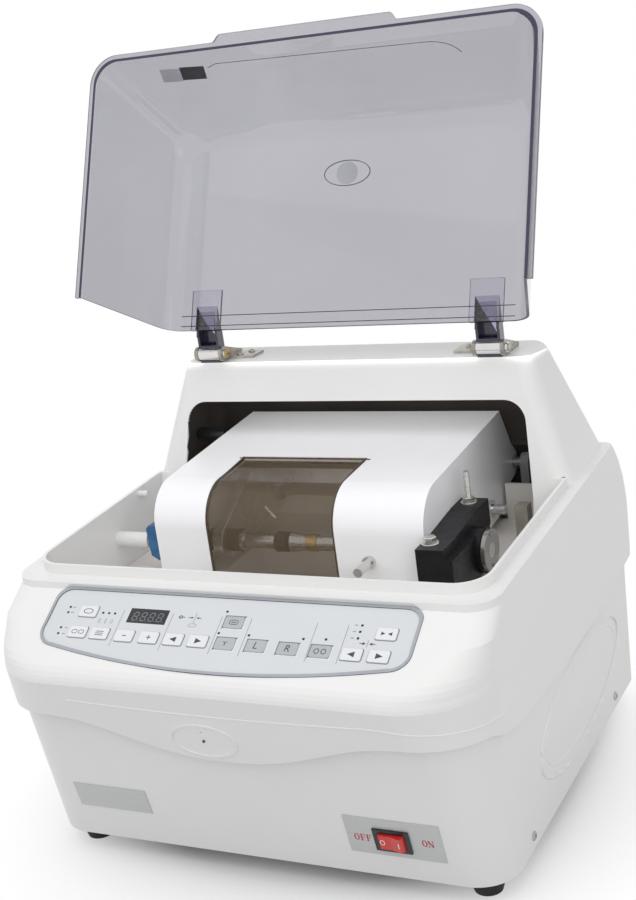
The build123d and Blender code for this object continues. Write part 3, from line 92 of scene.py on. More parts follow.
def tint(tree, shader, color, vary, pattern):
    """A base colour that wanders between a darker and a lighter shade."""
    mix = tree.nodes.new("ShaderNodeMix")
    mix.data_type = "RGBA"
    mix.inputs["A"].default_value = (*[c * (1 - vary) for c in color], 1)
    mix.inputs["B"].default_value = (*[min(c * (1 + vary), 1) for c in color], 1)
    tree.links.new(spread(tree, pattern, 0, 1), mix.inputs["Factor"])
    tree.links.new(mix.outputs["Result"], shader.inputs["Base Color"])


def surface(
    name,
    color,
    rough,
    rough_vary=0.06,
    metal=0.0,
    vary=0.04,
    vary_scale=30,
    grain=0.15,
    grain_scale=900,
    grain_depth=0.00005,
    stretch=None,
    coat=0.0,
    spec=0.5,
):
    """A procedural finish: mottled colour, uneven gloss and a fine grain in the surface."""
    mat, tree, shader = new_material(name)
    coords = tree.nodes.new("ShaderNodeTexCoord").outputs["Object"]
    shader.inputs["Metallic"].default_value = metal
    shader.inputs["Specular IOR Level"].default_value = spec
    shader.inputs["Coat Weight"].default_value = coat
    shader.inputs["Coat Roughness"].default_value = 0.08
    tint(tree, shader, color, vary, noise(tree, coords, vary_scale, 4, stretch))
    uneven = noise(tree, coords, vary_scale * 2.3, 3, stretch)
    tree.links.new(spread(tree, uneven, rough - rough_vary, rough + rough_vary), shader.inputs["Roughness"])
    bump = tree.nodes.new("ShaderNodeBump")
    bump.inputs["Strength"].default_value = grain
    bump.inputs["Distance"].default_value = grain_depth
    tree.links.new(noise(tree, coords, grain_scale, 2, stretch), bump.inputs["Height"])
    tree.links.new(bump.outputs[0], shader.inputs["Normal"])
    return mat


def clear(name, color, rough, vary=0.03, ripple=0.0002):
    """A tinted see-through plastic with an uneven tint and, where ripple isn't 0, a wavy surface."""
    mat, tree, shader = new_material(name)
    coords = tree.nodes.new("ShaderNodeTexCoord").outputs["Object"]
    shader.inputs["Transmission Weight"].default_value = 1.0
    shader.inputs["IOR"].default_value = 1.49
    tint(tree, shader, color, vary, noise(tree, coords, 6, 3))
    uneven = noise(tree, coords, 40, 3)
    tree.links.new(spread(tree, uneven, rough * 0.5, rough * 1.5), shader.inputs["Roughness"])
    if ripple:
        bump = tree.nodes.new("ShaderNodeBump")
        bump.inputs["Strength"].default_value = 0.2
        bump.inputs["Distance"].default_value = ripple
        tree.links.new(noise(tree, coords, 9, 1), bump.inputs["Height"])
        tree.links.new(bump.outputs[0], shader.inputs["Normal"])
    return mat


# A moulded white shell is nearly even in colour and gloss
MOULDED = {"rough_vary": 0.01, "vary": 0.006, "grain": 0.02, "grain_scale": 300, "grain_depth": 0.00001}
WHITE = surface("white_shell", (0.80, 0.80, 0.79), 0.3, **MOULDED)
COVER_WHITE = surface("cover_white", (0.92, 0.92, 0.935), 0.3, **MOULDED)
POST = surface("post_beige", (0.36, 0.33, 0.275), 0.35, vary=0.15, vary_scale=60, coat=0.3)
BEIGE = surface("beige_tray", (0.80, 0.775, 0.735), 0.4, vary=0.03, grain=0.1)
LID = clear("lid_tint", (0.45, 0.448, 0.487), 0.002, ripple=0)
# Painted dark on the clear plastic's edges and moulded lines, where they look dark by refraction
EDGE = surface("clear_edge_painted_dark", (0.028, 0.022, 0.06), 0.2, vary=0.15, coat=0.3)
SMOKE = surface("smoke_tint", (0.25, 0.185, 0.115), 0.06, 0.02, vary=0.06, grain=0.05, grain_scale=60)
SMOKE.node_tree.nodes["Principled BSDF"].inputs["Alpha"].default_value = 0.23
SMOKE_EDGE = surface("smoke_edge", (0.025, 0.018, 0.015), 0.2, vary=0.15, coat=0.3)
VIOLET = clear("violet_tint", (0.38, 0.35, 0.50), 0.03)
PAD = clear("pad_tint", (0.90, 0.89, 0.95), 0.01, ripple=0)
RIB = surface("rib_tint", (0.018, 0.015, 0.040), 0.18, vary=0.3, vary_scale=160, coat=0.6)
RUBBER = surface("black_rubber", (0.018, 0.018, 0.018), 0.7, vary=0.3, grain=0.5, spec=0.3)
ZINC = surface("zinc_steel", (0.62, 0.61, 0.58), 0.28, metal=1, vary=0.12, vary_scale=120, grain=0.2)
STEEL = surface(
    "ground_steel", (0.55, 0.54, 0.52), 0.25, metal=1, vary=0.12, vary_scale=60, stretch=(1, 12, 12)
)
PAINTED = surface("painted_steel", (0.35, 0.36, 0.37), 0.5, vary=0.08)
CASTING = surface(
    "black_casting", (0.010, 0.010, 0.012), 0.38, vary=0.35, vary_scale=80,
    grain=0.3, grain_scale=500, grain_depth=0.0002, spec=0.22,
)
FOIL = surface("panel_foil", (0.635, 0.655, 0.67), 0.36, vary=0.01, grain=0.05, grain_scale=2500)
TRIM = surface("panel_trim", (0.16, 0.17, 0.23), 0.35, vary=0.05)
KEY_WHITE = surface("key_white", (0.74, 0.75, 0.77), 0.36, vary=0.01, grain=0.05, grain_scale=2500)
KEY_SILVER = surface("key_silver", (0.42, 0.45, 0.46), 0.4, vary=0.04, grain=0.2, grain_scale=2500)
DARK = surface("display_dark", (0.02, 0.02, 0.025), 0.15, vary=0.2)
LAMP = surface("lamp_lens", (0.025, 0.025, 0.03), 0.25, vary=0.2)
BOARD = surface("board_green", (0.03, 0.16, 0.07), 0.4, vary=0.2, vary_scale=200)
PLATE = surface(
    "plate_silver", (0.52, 0.535, 0.53), 0.4, metal=0.35, vary=0.05, vary_scale=60, stretch=(1, 30, 30)
)
# Black plastic, and the painted shade of the hole in the front badge
BLACK = surface("black_plastic", (0.012, 0.012, 0.013), 0.35, vary=0.2)
RED = surface("rocker_red", (0.62, 0.02, 0.015), 0.22, vary=0.05, coat=0.3)
BLUE = surface("blue_plastic", (0.025, 0.13, 0.30), 0.2, vary=0.25, vary_scale=70, coat=0.4)
NAVY = surface("navy_edge", (0.008, 0.014, 0.055), 0.25, vary=0.2, coat=0.3)
ROUGH = surface(
    "rough_grit", (0.22, 0.15, 0.10), 0.8, vary=0.3, vary_scale=600,
    grain=0.9, grain_scale=1500, grain_depth=0.0003,
)
FINE = surface("fine_grit", (0.30, 0.27, 0.22), 0.7, vary=0.2, vary_scale=600, grain=0.6, grain_scale=2500)
ALLOY = surface("alloy", (0.60, 0.61, 0.62), 0.32, metal=1, vary=0.08, vary_scale=90)
BELT = surface("belt_rubber", (0.02, 0.02, 0.02), 0.8, vary=0.3)
MOTOR = surface("motor_paint", (0.06, 0.07, 0.08), 0.4, vary=0.15)
CHROME = surface("chrome", (0.72, 0.71, 0.70), 0.12, metal=1, vary=0.06, vary_scale=60, grain=0.06)
BRASS = surface("brass", (0.55, 0.38, 0.16), 0.28, metal=1, vary=0.15, vary_scale=80)
FROST = clear("frosted_print", (0.86, 0.86, 0.88), 0.5, vary=0.1)
INSIDE = surface("hood_inside", (0.085, 0.073, 0.066), 0.55, vary=0.2, vary_scale=15, spec=0.3)
# Dark print, and painted shade in screw recesses and in the slot of the left hinge nut
INK_AND_RECESS_SHADE = surface("print_ink_and_recess_shade", (0.05, 0.055, 0.08), 0.5, vary=0.15)
# Grey print, and a thin line of painted shade round each white key where it meets the panel
GREY_INK_AND_GAP_SHADE = surface("grey_ink_and_gap_shade", (0.26, 0.28, 0.31), 0.5, vary=0.1)
# Painted shade and painted highlight round the silver keys, which make them look sunk into the panel
KEY_PAINTED_SHADE = surface("key_painted_shade", (0.15, 0.17, 0.19), 0.45, vary=0.15)
KEY_PAINTED_HIGHLIGHT = surface("key_painted_highlight", (0.74, 0.77, 0.79), 0.4, vary=0.04)
DIGIT = surface("digit_bars", (0.20, 0.22, 0.24), 0.3, vary=0.1)
CRIMSON = surface("crimson_ink", (0.45, 0.015, 0.05), 0.5, vary=0.12)
WHITE_INK = surface("white_ink", (0.78, 0.75, 0.74), 0.4, vary=0.05)
DISC = surface("disc_grey", (0.27, 0.265, 0.255), 0.2, metal=0.75, vary=0.2, vary_scale=45, coat=0.4)
NICKEL = surface("nickel", (0.40, 0.38, 0.34), 0.3, metal=1, vary=0.2, vary_scale=140, grain=0.25)
STICKER = surface("sticker_dark", (0.075, 0.08, 0.055), 0.4, vary=0.5, vary_scale=500)
CLEAR_STICKER = clear("sticker_pale", (0.80, 0.80, 0.82), 0.35, vary=0.1)
BEZEL_TOP = surface("bezel_top", (0.36, 0.38, 0.41), 0.35, vary=0.04)
# The bezel's sides are painted shade, a dark line round its edges
BEZEL_SIDE_SHADE = surface("bezel_side_painted_shade", (0.045, 0.045, 0.085), 0.4, vary=0.1)
SOFT_WHITE = surface("white_plastic", (0.78, 0.78, 0.77), 0.35, vary=0.02)

finishes = {
    "upper_housing": WHITE, "lower_housing": WHITE, "base_plate": PAINTED, "rubber_feet": RUBBER,
    "pan_head_screws": ZINC, "inner_posts": PAINTED, "wheel_tray": BEIGE, "tray_posts": POST,
    "front_plates": PLATE, "switch_bezel": BLACK, "switch_rocker": RED, "panel_bezel": TRIM,
    "panel_overlay": FOIL, "display": DARK, "indicator_lamps": LAMP, "circuit_board": BOARD,
    "rough_wheel": ROUGH, "finishing_wheel": FINE, "wheel_spindle": STEEL, "spindle_pulley": ALLOY,
    "motor_pulley": ALLOY, "drive_belt": BELT, "wheel_motor": MOTOR, "motor_shaft": STEEL,
    "carriage_cover": COVER_WHITE, "viewing_window": SMOKE, "carriage_frame": ALLOY, "pivot_shaft": STEEL,
    "chuck_sleeve": CASTING, "lens_shaft_left": STEEL, "lens_pad": RUBBER, "lens_shaft_right": STEEL,
    "lens_cup": BRASS, "pattern_holder": CHROME, "pattern_housing": CASTING, "housing_fasteners": ZINC,
    "cover_fittings": CHROME, "side_knob": BLACK, "well_fittings": SOFT_WHITE, "valve_lever": BLUE,
    "rear_connections": BLACK, "lid": LID, "hinge_arms": VIOLET, "hinge_brackets": CHROME,
    "hinge_barrels": CHROME,
}
SILVER_KEYS = ("key_test", "key_view", "key_start_left", "key_start_right", "key_stop")
for name, node in nodes.items():
    if name in finishes:
        mat = finishes[name]
    else:
        mat = KEY_SILVER if name in SILVER_KEYS else KEY_WHITE
    node.data.materials.clear()
    node.data.materials.append(mat)

# ---------------------------------------------------------------- mesh helpers, in millimetres
# Angles between two faces, in degrees, from which an edge is sharp and from which it is rounded
SHARP_FROM, BEVEL_FROM = 35, 30


def at(x, y, z):
    """A place given in millimetres, in metres."""
    return Vector((x, y, z)) * MM


def basis(origin, z_dir, x_dir=(1, 0, 0)):
    """A local frame whose Z is z_dir and whose X is as near x_dir as can be."""
    z = Vector(z_dir).normalized()
    x = Vector(x_dir)
    x = (x - z * x.dot(z)).normalized()
    m = Matrix((x, z.cross(x), z)).transposed().to_4x4()
    m.translation = Vector(origin) * MM
    return m


def place(name, bm, mat, body, slot=None, stands_for=(), bevel=0.0, weighted=True):
    """Turns a bmesh into a finished piece that rides on a body."""
    bmesh.ops.recalc_face_normals(bm, faces=bm.faces)
    mesh = bpy.data.meshes.new(name)
    bm.to_mesh(mesh)
    bm.free()
    for poly in mesh.polygons:
        poly.use_smooth = True
    mesh.set_sharp_from_angle(angle=math.radians(SHARP_FROM))
    for m in mat if isinstance(mat, (list, tuple)) else [mat]:
        mesh.materials.append(m)
    obj = bpy.data.objects.new(name, mesh)
    scene.collection.objects.link(obj)
    if bevel:
        mod = obj.modifiers.new("edges", "BEVEL")
        mod.width = bevel * MM
        mod.segments = 3
        mod.limit_method = "ANGLE"
        mod.angle_limit = math.radians(BEVEL_FROM)
        mod.harden_normals = False
        mod.use_clamp_overlap = True
    if weighted:
        mod = obj.modifiers.new("shading", "WEIGHTED_NORMAL")
        mod.keep_sharp = True
    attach(obj, body)
    if stands_for:
        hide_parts(*stands_for)
    return obj


def prism(bm, outline, frame_at, low, high, mat=0):
    """A closed outline made solid between two heights of a local frame."""
    rings = [[bm.verts.new(frame_at @ at(u, v, h)) for u, v in outline] for h in (low, high)]
    n = len(outline)
    faces = [bm.faces.new(rings[0][::-1]), bm.faces.new(rings[1])]
    for i in range(n):
        j = (i + 1) % n
        faces.append(bm.faces.new((rings[0][i], rings[0][j], rings[1][j], rings[1][i])))
    for f in faces:
        f.material_index = mat
    return faces


def band(bm, outer, inner, frame_at, low, high, mat=0):
    """A closed band between two outlines with the same number of points."""
    corners = ((outer, low), (outer, high), (inner, high), (inner, low))
    rows = [[bm.verts.new(frame_at @ at(u, v, h)) for u, v in line] for line, h in corners]
    n = len(outer)
    for i in range(n):
        j = (i + 1) % n
        for a, b in ((0, 1), (1, 2), (2, 3), (3, 0)):
            f = bm.faces.new((rows[a][i], rows[a][j], rows[b][j], rows[b][i]))
            f.material_index = mat


def lathe(bm, profile, frame_at, steps=40, mat=0):
    """A profile of (radius, height) turned about the local Z; a radius of 0 closes it."""
    rings = []
    for r, h in profile:
        if r < 1e-6:
            rings.append([bm.verts.new(frame_at @ at(0, 0, h))])
        else:
            rings.append([bm.verts.new(frame_at @ at(u, v, h)) for u, v in oval(r, r, steps)])
    for a, b in zip(rings, rings[1:]):
        for k in range(steps):
            j = (k + 1) % steps
            if len(a) == 1 and len(b) > 1:
                f = bm.faces.new((a[0], b[j], b[k]))
            elif len(b) == 1 and len(a) > 1:
                f = bm.faces.new((a[k], a[j], b[0]))
            elif len(a) > 1:
                f = bm.faces.new((a[k], a[j], b[j], b[k]))
            f.material_index = mat


def rounded(width, height, radius, x=0.0, y=0.0):
    """The outline of a rectangle with rounded corners about a centre."""
    points = []
    steps = 5
    for cx, cy, start in ((1, 1, 0), (-1, 1, 90), (-1, -1, 180), (1, -1, 270)):
        for k in range(steps + 1):
            a = math.radians(start + 90 * k / steps)
            points.append((
                x + cx * (width / 2 - radius) + radius * math.cos(a),
                y + cy * (height / 2 - radius) + radius * math.sin(a),
            ))
    return points


def oval(a, b, steps=64, x=0.0, y=0.0, turn=0.0):
    """The outline of an ellipse with half axes a and b, turned about its centre."""
    points = []
    for k in range(steps):
        t = 2 * math.pi * k / steps
        u, v = a * math.cos(t), b * math.sin(t)
        across, along = u * math.cos(turn) - v * math.sin(turn), u * math.sin(turn) + v * math.cos(turn)
        points.append((x + across, y + along))
    return points


def wire(bm, points, radius, steps=8, mat=0):
    """A round wire through points given in millimetres."""
    pts = [Vector(p) for p in points]
    rings = []
    for i, p in enumerate(pts):
        d = (pts[min(i + 1, len(pts) - 1)] - pts[max(i - 1, 0)]).normalized()
        ref = Vector((0, 0, 1)) if abs(d.z) < 0.9 else Vector((1, 0, 0))
        x = d.cross(ref).normalized()
        y = x.cross(d)
        rings.append([bm.verts.new((p + x * u + y * v) * MM) for u, v in oval(radius, radius, steps)])
    for a, b in zip(rings, rings[1:]):
        for k in range(steps):
            j = (k + 1) % steps
            bm.faces.new((a[k], a[j], b[j], b[k])).material_index = mat
    bm.faces.new(rings[0][::-1]).material_index = mat
    bm.faces.new(rings[-1]).material_index = mat


def softened(node, mat, width, slot):
    """A copy of a CAD node's mesh with rounded edges and smooth shading, which stands for the node."""
    bm = bmesh.new()
    bm.from_mesh(nodes[node].data)
    bmesh.ops.remove_doubles(bm, verts=bm.verts, dist=2e-6)
    bmesh.ops.dissolve_limit(bm, angle_limit=math.radians(1), verts=bm.verts, edges=bm.edges)
    return place(node + "_look", bm, mat, node_body[node], slot, (node,), width)


# The body that each node belongs to
bodies = frame["record"]["behaviour"]["bodies"]
node_body = {n: b for b, members in bodies.items() for n in members}

# ---------------------------------------------------------------- lid
# The lid is drawn closed, on a plane that rises to the rear with the rim, and swung open about its hinge.
# In its own frame x runs across, u to the rear and w up.
RISE = math.radians(2.4)
LID_FRONT, LID_BASE, LID_HALF = -144.2, 247.19, 209.4
LID_H, LID_BEND, LID_WALL, LID_FLANGE = 104.0, 22.0, 2.6, 4.5
# How far the walls lean in for each millimetre of height
SIDE_LEAN, FRONT_LEAN, REAR_LEAN = 31.4 / 104, 43 / 104, 9 / 104
LID_CORNER = 22
LID_OPEN = 116.6
HINGE_X, HINGE_Y, HINGE_Z = 138.6, 100.6, 374.4
HINGE = (0, HINGE_Y, HINGE_Z)
closed_at = basis((0, LID_FRONT, LID_BASE), (0, -math.sin(RISE), math.cos(RISE)))
opening = Matrix.Rotation(math.radians(-LID_OPEN), 4, "X")
swing = Matrix.Translation(at(*HINGE)) @ opening @ Matrix.Translation(-at(*HINGE))
LID_AT = swing @ closed_at


def lid_in(w, lean, top=LID_H, bend=LID_BEND):
    """How far a leaning wall has come in at a height, with the bend to the top in it."""
    a = math.atan(lean)
    turn_w = top - bend + bend * math.sin(a)
    if w <= turn_w:
        return w * lean
    over = w - top + bend
    return turn_w * lean + bend * math.cos(a) - math.sqrt(max(bend**2 - over**2, 0))


def lid_rear(w):
    """How far back the open rear edge of the lid stands at a height."""
    low_y = 72.5
    low_z = 247 + (low_y + 134.5) * math.tan(RISE)
    reach = low_y - LID_FRONT + w * math.sin(RISE) + REAR_LEAN * (LID_BASE + w * math.cos(RISE) - low_z)
    return reach / (math.cos(RISE) - REAR_LEAN * math.sin(RISE))


# The right half of the finger tab at the front: across, and how far out
TAB_HALF = ((20, 7), (50, 7), (78, 7), (81.5, 6.8), (83.5, 5.2), (85.5, 2.2), (87, 0.3), (90, 0))
TAB = [(-x, out) for x, out in TAB_HALF[::-1]] + list(TAB_HALF)


def lid_ring(half, front, w, radius, tab=0):
    """One level of the lid from its rear left to its rear right, round the front."""
    rear = lid_rear(w)
    pts = [(-half, rear + (front + radius - rear) * k / 8) for k in range(8)]
    turns = [math.radians(9 * k) for k in range(11)]
    pts += [(-half + radius * (1 - math.cos(a)), front + radius * (1 - math.sin(a))) for a in turns]
    pts += [(x, front - tab * out) for x, out in TAB]
    pts += [(half - radius * (1 - math.sin(a)), front + radius * (1 - math.cos(a))) for a in turns]
    pts += [(half, front + radius + (rear - front - radius) * k / 8) for k in range(1, 9)]
    return [(x, u, w) for x, u in pts]


def lid_levels(inset):
    """The levels of the outside from the top down, or of the inside one wall further in."""
    top, bend = LID_H - inset, LID_BEND - inset
    rows = []
    for w in [top - bend + bend * math.sin(math.radians(a)) for a in range(90, -1, -10)] + [60, 40, 20]:
        half = LID_HALF - inset - lid_in(w, SIDE_LEAN, top, bend)
        rows.append(lid_ring(half, inset + lid_in(w, FRONT_LEAN, top, bend), w, LID_CORNER))
    return rows


# The flange: how far out at the sides and at the front, height, corner radius, share of the tab
FLANGE = (
    (0.5, 0.4, LID_WALL, 22.5, 0),
    (LID_FLANGE - 0.4, LID_FLANGE - 0.4, LID_WALL, 26, 1),
    (LID_FLANGE, LID_FLANGE, LID_WALL - 0.4, 26.5, 1),
    (LID_FLANGE, LID_FLANGE, 0.4, 26.5, 1),
    (LID_FLANGE - 0.4, LID_FLANGE - 0.4, 0, 26, 1),
    (0.4, 0.4, 0, LID_CORNER, 0),
    (0.5 - LID_WALL, 0.5 - LID_WALL, 0, LID_CORNER, 0),
    (-LID_WALL, -LID_WALL - 0.2, 0.6, LID_CORNER, 0),
)
# Strips between two levels painted dark, where the eye looks along the flange and the clear plastic looks
# dark by refraction
LID_PAINTED_DARK_LEVELS = (16, 19)
ROOT = 3.2
rings = lid_levels(0)
rings.append(lid_ring(LID_HALF - lid_in(ROOT, SIDE_LEAN), lid_in(ROOT, FRONT_LEAN), ROOT, LID_CORNER))
rings += [lid_ring(LID_HALF + side, -ahead, w, radius, tab) for side, ahead, w, radius, tab in FLANGE]
rings += lid_levels(LID_WALL)[::-1]
bm = bmesh.new()
rows = [[bm.verts.new(LID_AT @ at(*p)) for p in ring] for ring in rings]
for level, (a, b) in enumerate(zip(rows, rows[1:])):
    for i in range(len(a) - 1):
        bm.faces.new((a[i], a[i + 1], b[i + 1], b[i])).material_index = int(level in LID_PAINTED_DARK_LEVELS)
bm.faces.new(rows[0])
bm.faces.new(rows[-1][::-1])
# The shell's cut ends are painted dark as well
bm.faces.new([r[0] for r in rows]).material_index = 1
bm.faces.new([r[-1] for r in rows][::-1]).material_index = 1
bm.faces.new((rows[0][0], rows[-1][0], rows[-1][-1], rows[0][-1])).material_index = 1
place("lid_shell", bm, [LID, EDGE], "lid", "clear_tint", ("lid",))

# Bare oval on the lid's top, its line painted dark, with a frosted round in it
bm = bmesh.new()
line_at = LID_AT @ Matrix.Translation(at(0, 90, LID_H))
band(bm, oval(23, 12), oval(22.3, 11.3), line_at, 0, 0.5)
lathe(bm, [(0, 0.05), (10.5, 0.05), (10.5, 0.25), (0, 0.3)], line_at, 48, 1)
place("lid_oval", bm, [EDGE, FROST], "lid", "clear_tint")


def on_lid_front(x, w, out=0.0):
    """A place on the outside of the lid's front wall."""
    return LID_AT @ at(x, lid_in(w, FRONT_LEAN) - out, w) / MM


# Thin line moulded along the front wall, and two across the top near its rear edge, all painted dark
bm = bmesh.new()
path = [(-103, 21)] + [(-103 + k * 10, 17.2 + 0.2 * k) for k in range(1, 22)]
for a in (15, 30, 45, 60, 75):
    turned = math.radians(a)
    path.append((107 + 26 * math.sin(turned), 21.6 + 20 * (1 - math.cos(turned))))
wire(bm, [on_lid_front(x, w) for x, w in path], 0.3, 6)
for inset in (14, 4.5):
    along = [(x, lid_rear(LID_H) - inset) for x in range(-165, 166, 30)]
    wire(bm, [LID_AT @ at(x, u, LID_H) / MM for x, u in along], 0.4, 6)
place("lid_line", bm, EDGE, "lid", "clear_tint")

# Plain stickers on the front wall, one pale and one dark
SIX_SIDES = ((0, 1, 2, 3), (4, 5, 6, 7), (0, 1, 5, 4), (1, 2, 6, 5), (2, 3, 7, 6), (3, 0, 4, 7))
bm = bmesh.new()
for low, high, mat in ((-151, -130.5, 0), (-130.5, -106, 1)):
    corners = ((low, 17), (high, 18.6), (high - 4, 33), (low - 4, 31.8))
    verts = [bm.verts.new(on_lid_front(x, w, out) * MM) for out in (0.02, 0.25) for x, w in corners]
    for quad in SIX_SIDES:
        bm.faces.new([verts[i] for i in quad]).material_index = mat
place("lid_sticker", bm, [CLEAR_STICKER, STICKER], "lid", "plate_silver", weighted=False)

# ---------------------------------------------------------------- copies of CAD meshes with several finishes, painted shade and painted dark edges among them
def painted_copy(node, mats, pick):
    """The node's own mesh with its faces shared out among several finishes."""
    mesh = nodes[node].data.copy()
    mesh.materials.clear()
    for m in mats:
        mesh.materials.append(m)
    for poly in mesh.polygons:
        poly.material_index = pick(poly.center / MM, poly.normal)
    obj = bpy.data.objects.new(node + "_look", mesh)
    scene.collection.objects.link(obj)
    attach(obj, node_body[node])
    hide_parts(node)
    return obj


HOOD_FOOT = 258


def hood_side(c, n):
    """1 for the faces inside the hood, which are dark."""
    up = c.z - HOOD_FOOT
    if c.z < 205 or c.z > 361 or c.y < 78 + up * 0.2345:
        return 0
    # The small faces at the hood's two front corners stay white
    if abs(c.x) > 196 and c.y < 90 and c.z > 250:
        return 0
    side = abs(c.x) < 206 - 34 * up / 109 and n.x * c.x < -2
    rear = n.y < -0.6 and c.y > 150
    front = n.y > 0.6 and c.y < 130
    return int(side or rear or front)


def window_side(c, n):
    """1 for the window's two side edges and its rear edge."""
    return int(abs(n.x) > 0.8 or (n.y > 0.9 and c.y > 30))


painted_copy("upper_housing", [WHITE, INSIDE], hood_side)
painted_copy("viewing_window", [SMOKE, SMOKE_EDGE], window_side)


def arm_side(c, n):
    """0 for the lid pads' flat faces, 1 for their edges, which are painted dark, 2 for arms and hooks, 3 for
    see-through sides.
    """
    p = LID_AT.inverted() @ (c * MM) / MM
    m = LID_AT.to_3x3().transposed() @ n
    near = abs(abs(p.x) - HINGE_X)
    if LID_H - 0.2 < p.z < LID_H + 2.6 and p.y < lid_rear(LID_H) + 0.2:
        if abs(m.z) > 0.9:
            return 0
        return 1 if near > 18 or abs(m.y) > 0.9 else 2
    hook = p.y > lid_rear(LID_H) - 3
    return 3 if near < 8.4 and abs(n.x) < 0.5 and not hook else 2


painted_copy("hinge_arms", [PAD, EDGE, RIB, VIOLET], arm_side)
# The panel's own frame, with its origin at the middle of the panel's top line
PANEL_TILT = math.radians(31)
PANEL_AT = basis((0, -152.398, 240.5), (0, -math.sin(PANEL_TILT), math.cos(PANEL_TILT)))
panel_up = PANEL_AT.to_3x3() @ Vector((0, 0, 1))
# The bezel's faces that don't face out of the panel take the painted shade
painted_copy("panel_bezel", [BEZEL_TOP, BEZEL_SIDE_SHADE], lambda c, n: int(n.dot(panel_up) < 0.7))

# ---------------------------------------------------------------- prints on the panel, and painted shade and highlight round its keys
PRINT_AND_SHADE_LAYER = (PANEL_AT, -0.16, -0.03)
# Centre of each key as a share of the panel's half width and of its height
KEYS = {
    "key_lens": (-0.781, 0.308), "key_frame": (-0.789, 0.607), "key_mode": (-0.661, 0.607),
    "key_minus": (-0.512, 0.615), "key_plus": (-0.371, 0.615), "key_size_left": (-0.230, 0.615),
    "key_size_right": (-0.093, 0.615), "key_test": (0.062, 0.329), "key_view": (0.058, 0.622),
    "key_start_left": (0.225, 0.622), "key_start_right": (0.394, 0.628), "key_stop": (0.563, 0.630),
    "key_press": (0.863, 0.344), "key_chuck_left": (0.723, 0.637), "key_chuck_right": (0.859, 0.637),
}


def on_panel(share_x, share_y):
    """A place on the panel in millimetres, from shares of its size."""
    return share_x * 161, -share_y * 67.5


def bar(bm, x0, y0, x1, y1, width, frame_at, low, high, mat=0):
    """A straight printed line between two points."""
    d = Vector((x1 - x0, y1 - y0)).normalized() * width / 2
    outline = [(x0 - d.y, y0 + d.x), (x0 + d.y, y0 - d.x), (x1 + d.y, y1 - d.x), (x1 - d.y, y1 + d.x)]
    prism(bm, outline, frame_at, low, high, mat)


def loop(bm, radius_x, radius_y, width, steps, x, y, frame_at, low, high, mat=0):
    """A printed oval line of a given width."""
    inner = oval(radius_x - width, radius_y - width, steps, x, y)
    band(bm, oval(radius_x, radius_y, steps, x, y), inner, frame_at, low, high, mat)


def frame_line(bm, width, height, radius, inset, inner_radius, x, y, frame_at, low, high, mat=0):
    """A printed rectangular line with rounded corners."""
    inner = rounded(width - 2 * inset, height - 2 * inset, inner_radius, x, y)
    band(bm, rounded(width, height, radius, x, y), inner, frame_at, low, high, mat)


def letters(bm, text, size, x, y, frame_at, low, high, slant=0.0):
    """Plain letters from Blender's own font, as closed solids on a local frame."""
    curve = bpy.data.curves.new("letters", "FONT")
    curve.body = text
    curve.size = size
    curve.align_x = "CENTER"
    curve.align_y = "CENTER"
    curve.resolution_u = 3
    carrier = bpy.data.objects.new("letters", curve)
    mesh = bpy.data.meshes.new_from_object(carrier)
    tmp = bmesh.new()
    tmp.from_mesh(mesh)
    bmesh.ops.remove_doubles(tmp, verts=tmp.verts, dist=1e-5)
    lower = {}
    upper = {}
    for v in tmp.verts:
        u, w = v.co.x + slant * v.co.y + x, v.co.y + y
        lower[v] = bm.verts.new(frame_at @ at(u, w, low))
        upper[v] = bm.verts.new(frame_at @ at(u, w, high))
    for f in tmp.faces:
        bm.faces.new([lower[v] for v in f.verts][::-1])
        bm.faces.new([upper[v] for v in f.verts])
    for e in tmp.edges:
        if len(e.link_faces) == 1:
            a, b = e.verts
            bm.faces.new((lower[a], lower[b], upper[b], upper[a]))
    tmp.free()
    bpy.data.objects.remove(carrier)
    bpy.data.curves.remove(curve)
    bpy.data.meshes.remove(mesh)


bm = bmesh.new()
# Lines between the groups of keys
for x in (-93, -47, -2.5, 23.8, 80.3, 106.3):
    bar(bm, x, -17, x, -52, 0.45, *PRINT_AND_SHADE_LAYER, 1)
# Painted shade along the top and left of each silver key and a painted highlight along its bottom and right;
# a thin grey line of painted shade round each white key
for name, (sx, sy) in KEYS.items():
    x, y = on_panel(sx, sy)
    if name in SILVER_KEYS:
        shade = ((-9.6, -6.2), (-9.6, 6.6), (9.2, 6.6), (8.3, 5.3), (-8.3, 5.3), (-8.3, -5.3))
        light = ((-8.3, -5.3), (8.3, -5.3), (8.3, 5.3), (9.4, 6.4), (9.4, -6.4), (-9.4, -6.4))
        prism(bm, [(x + u, y + v) for u, v in shade], *PRINT_AND_SHADE_LAYER, 2)
        prism(bm, [(x + u, y + v) for u, v in light], *PRINT_AND_SHADE_LAYER, 3)
    else:
        frame_line(bm, 17.9, 11.9, 2.0, 0.5, 1.6, x, y, *PRINT_AND_SHADE_LAYER, 1)
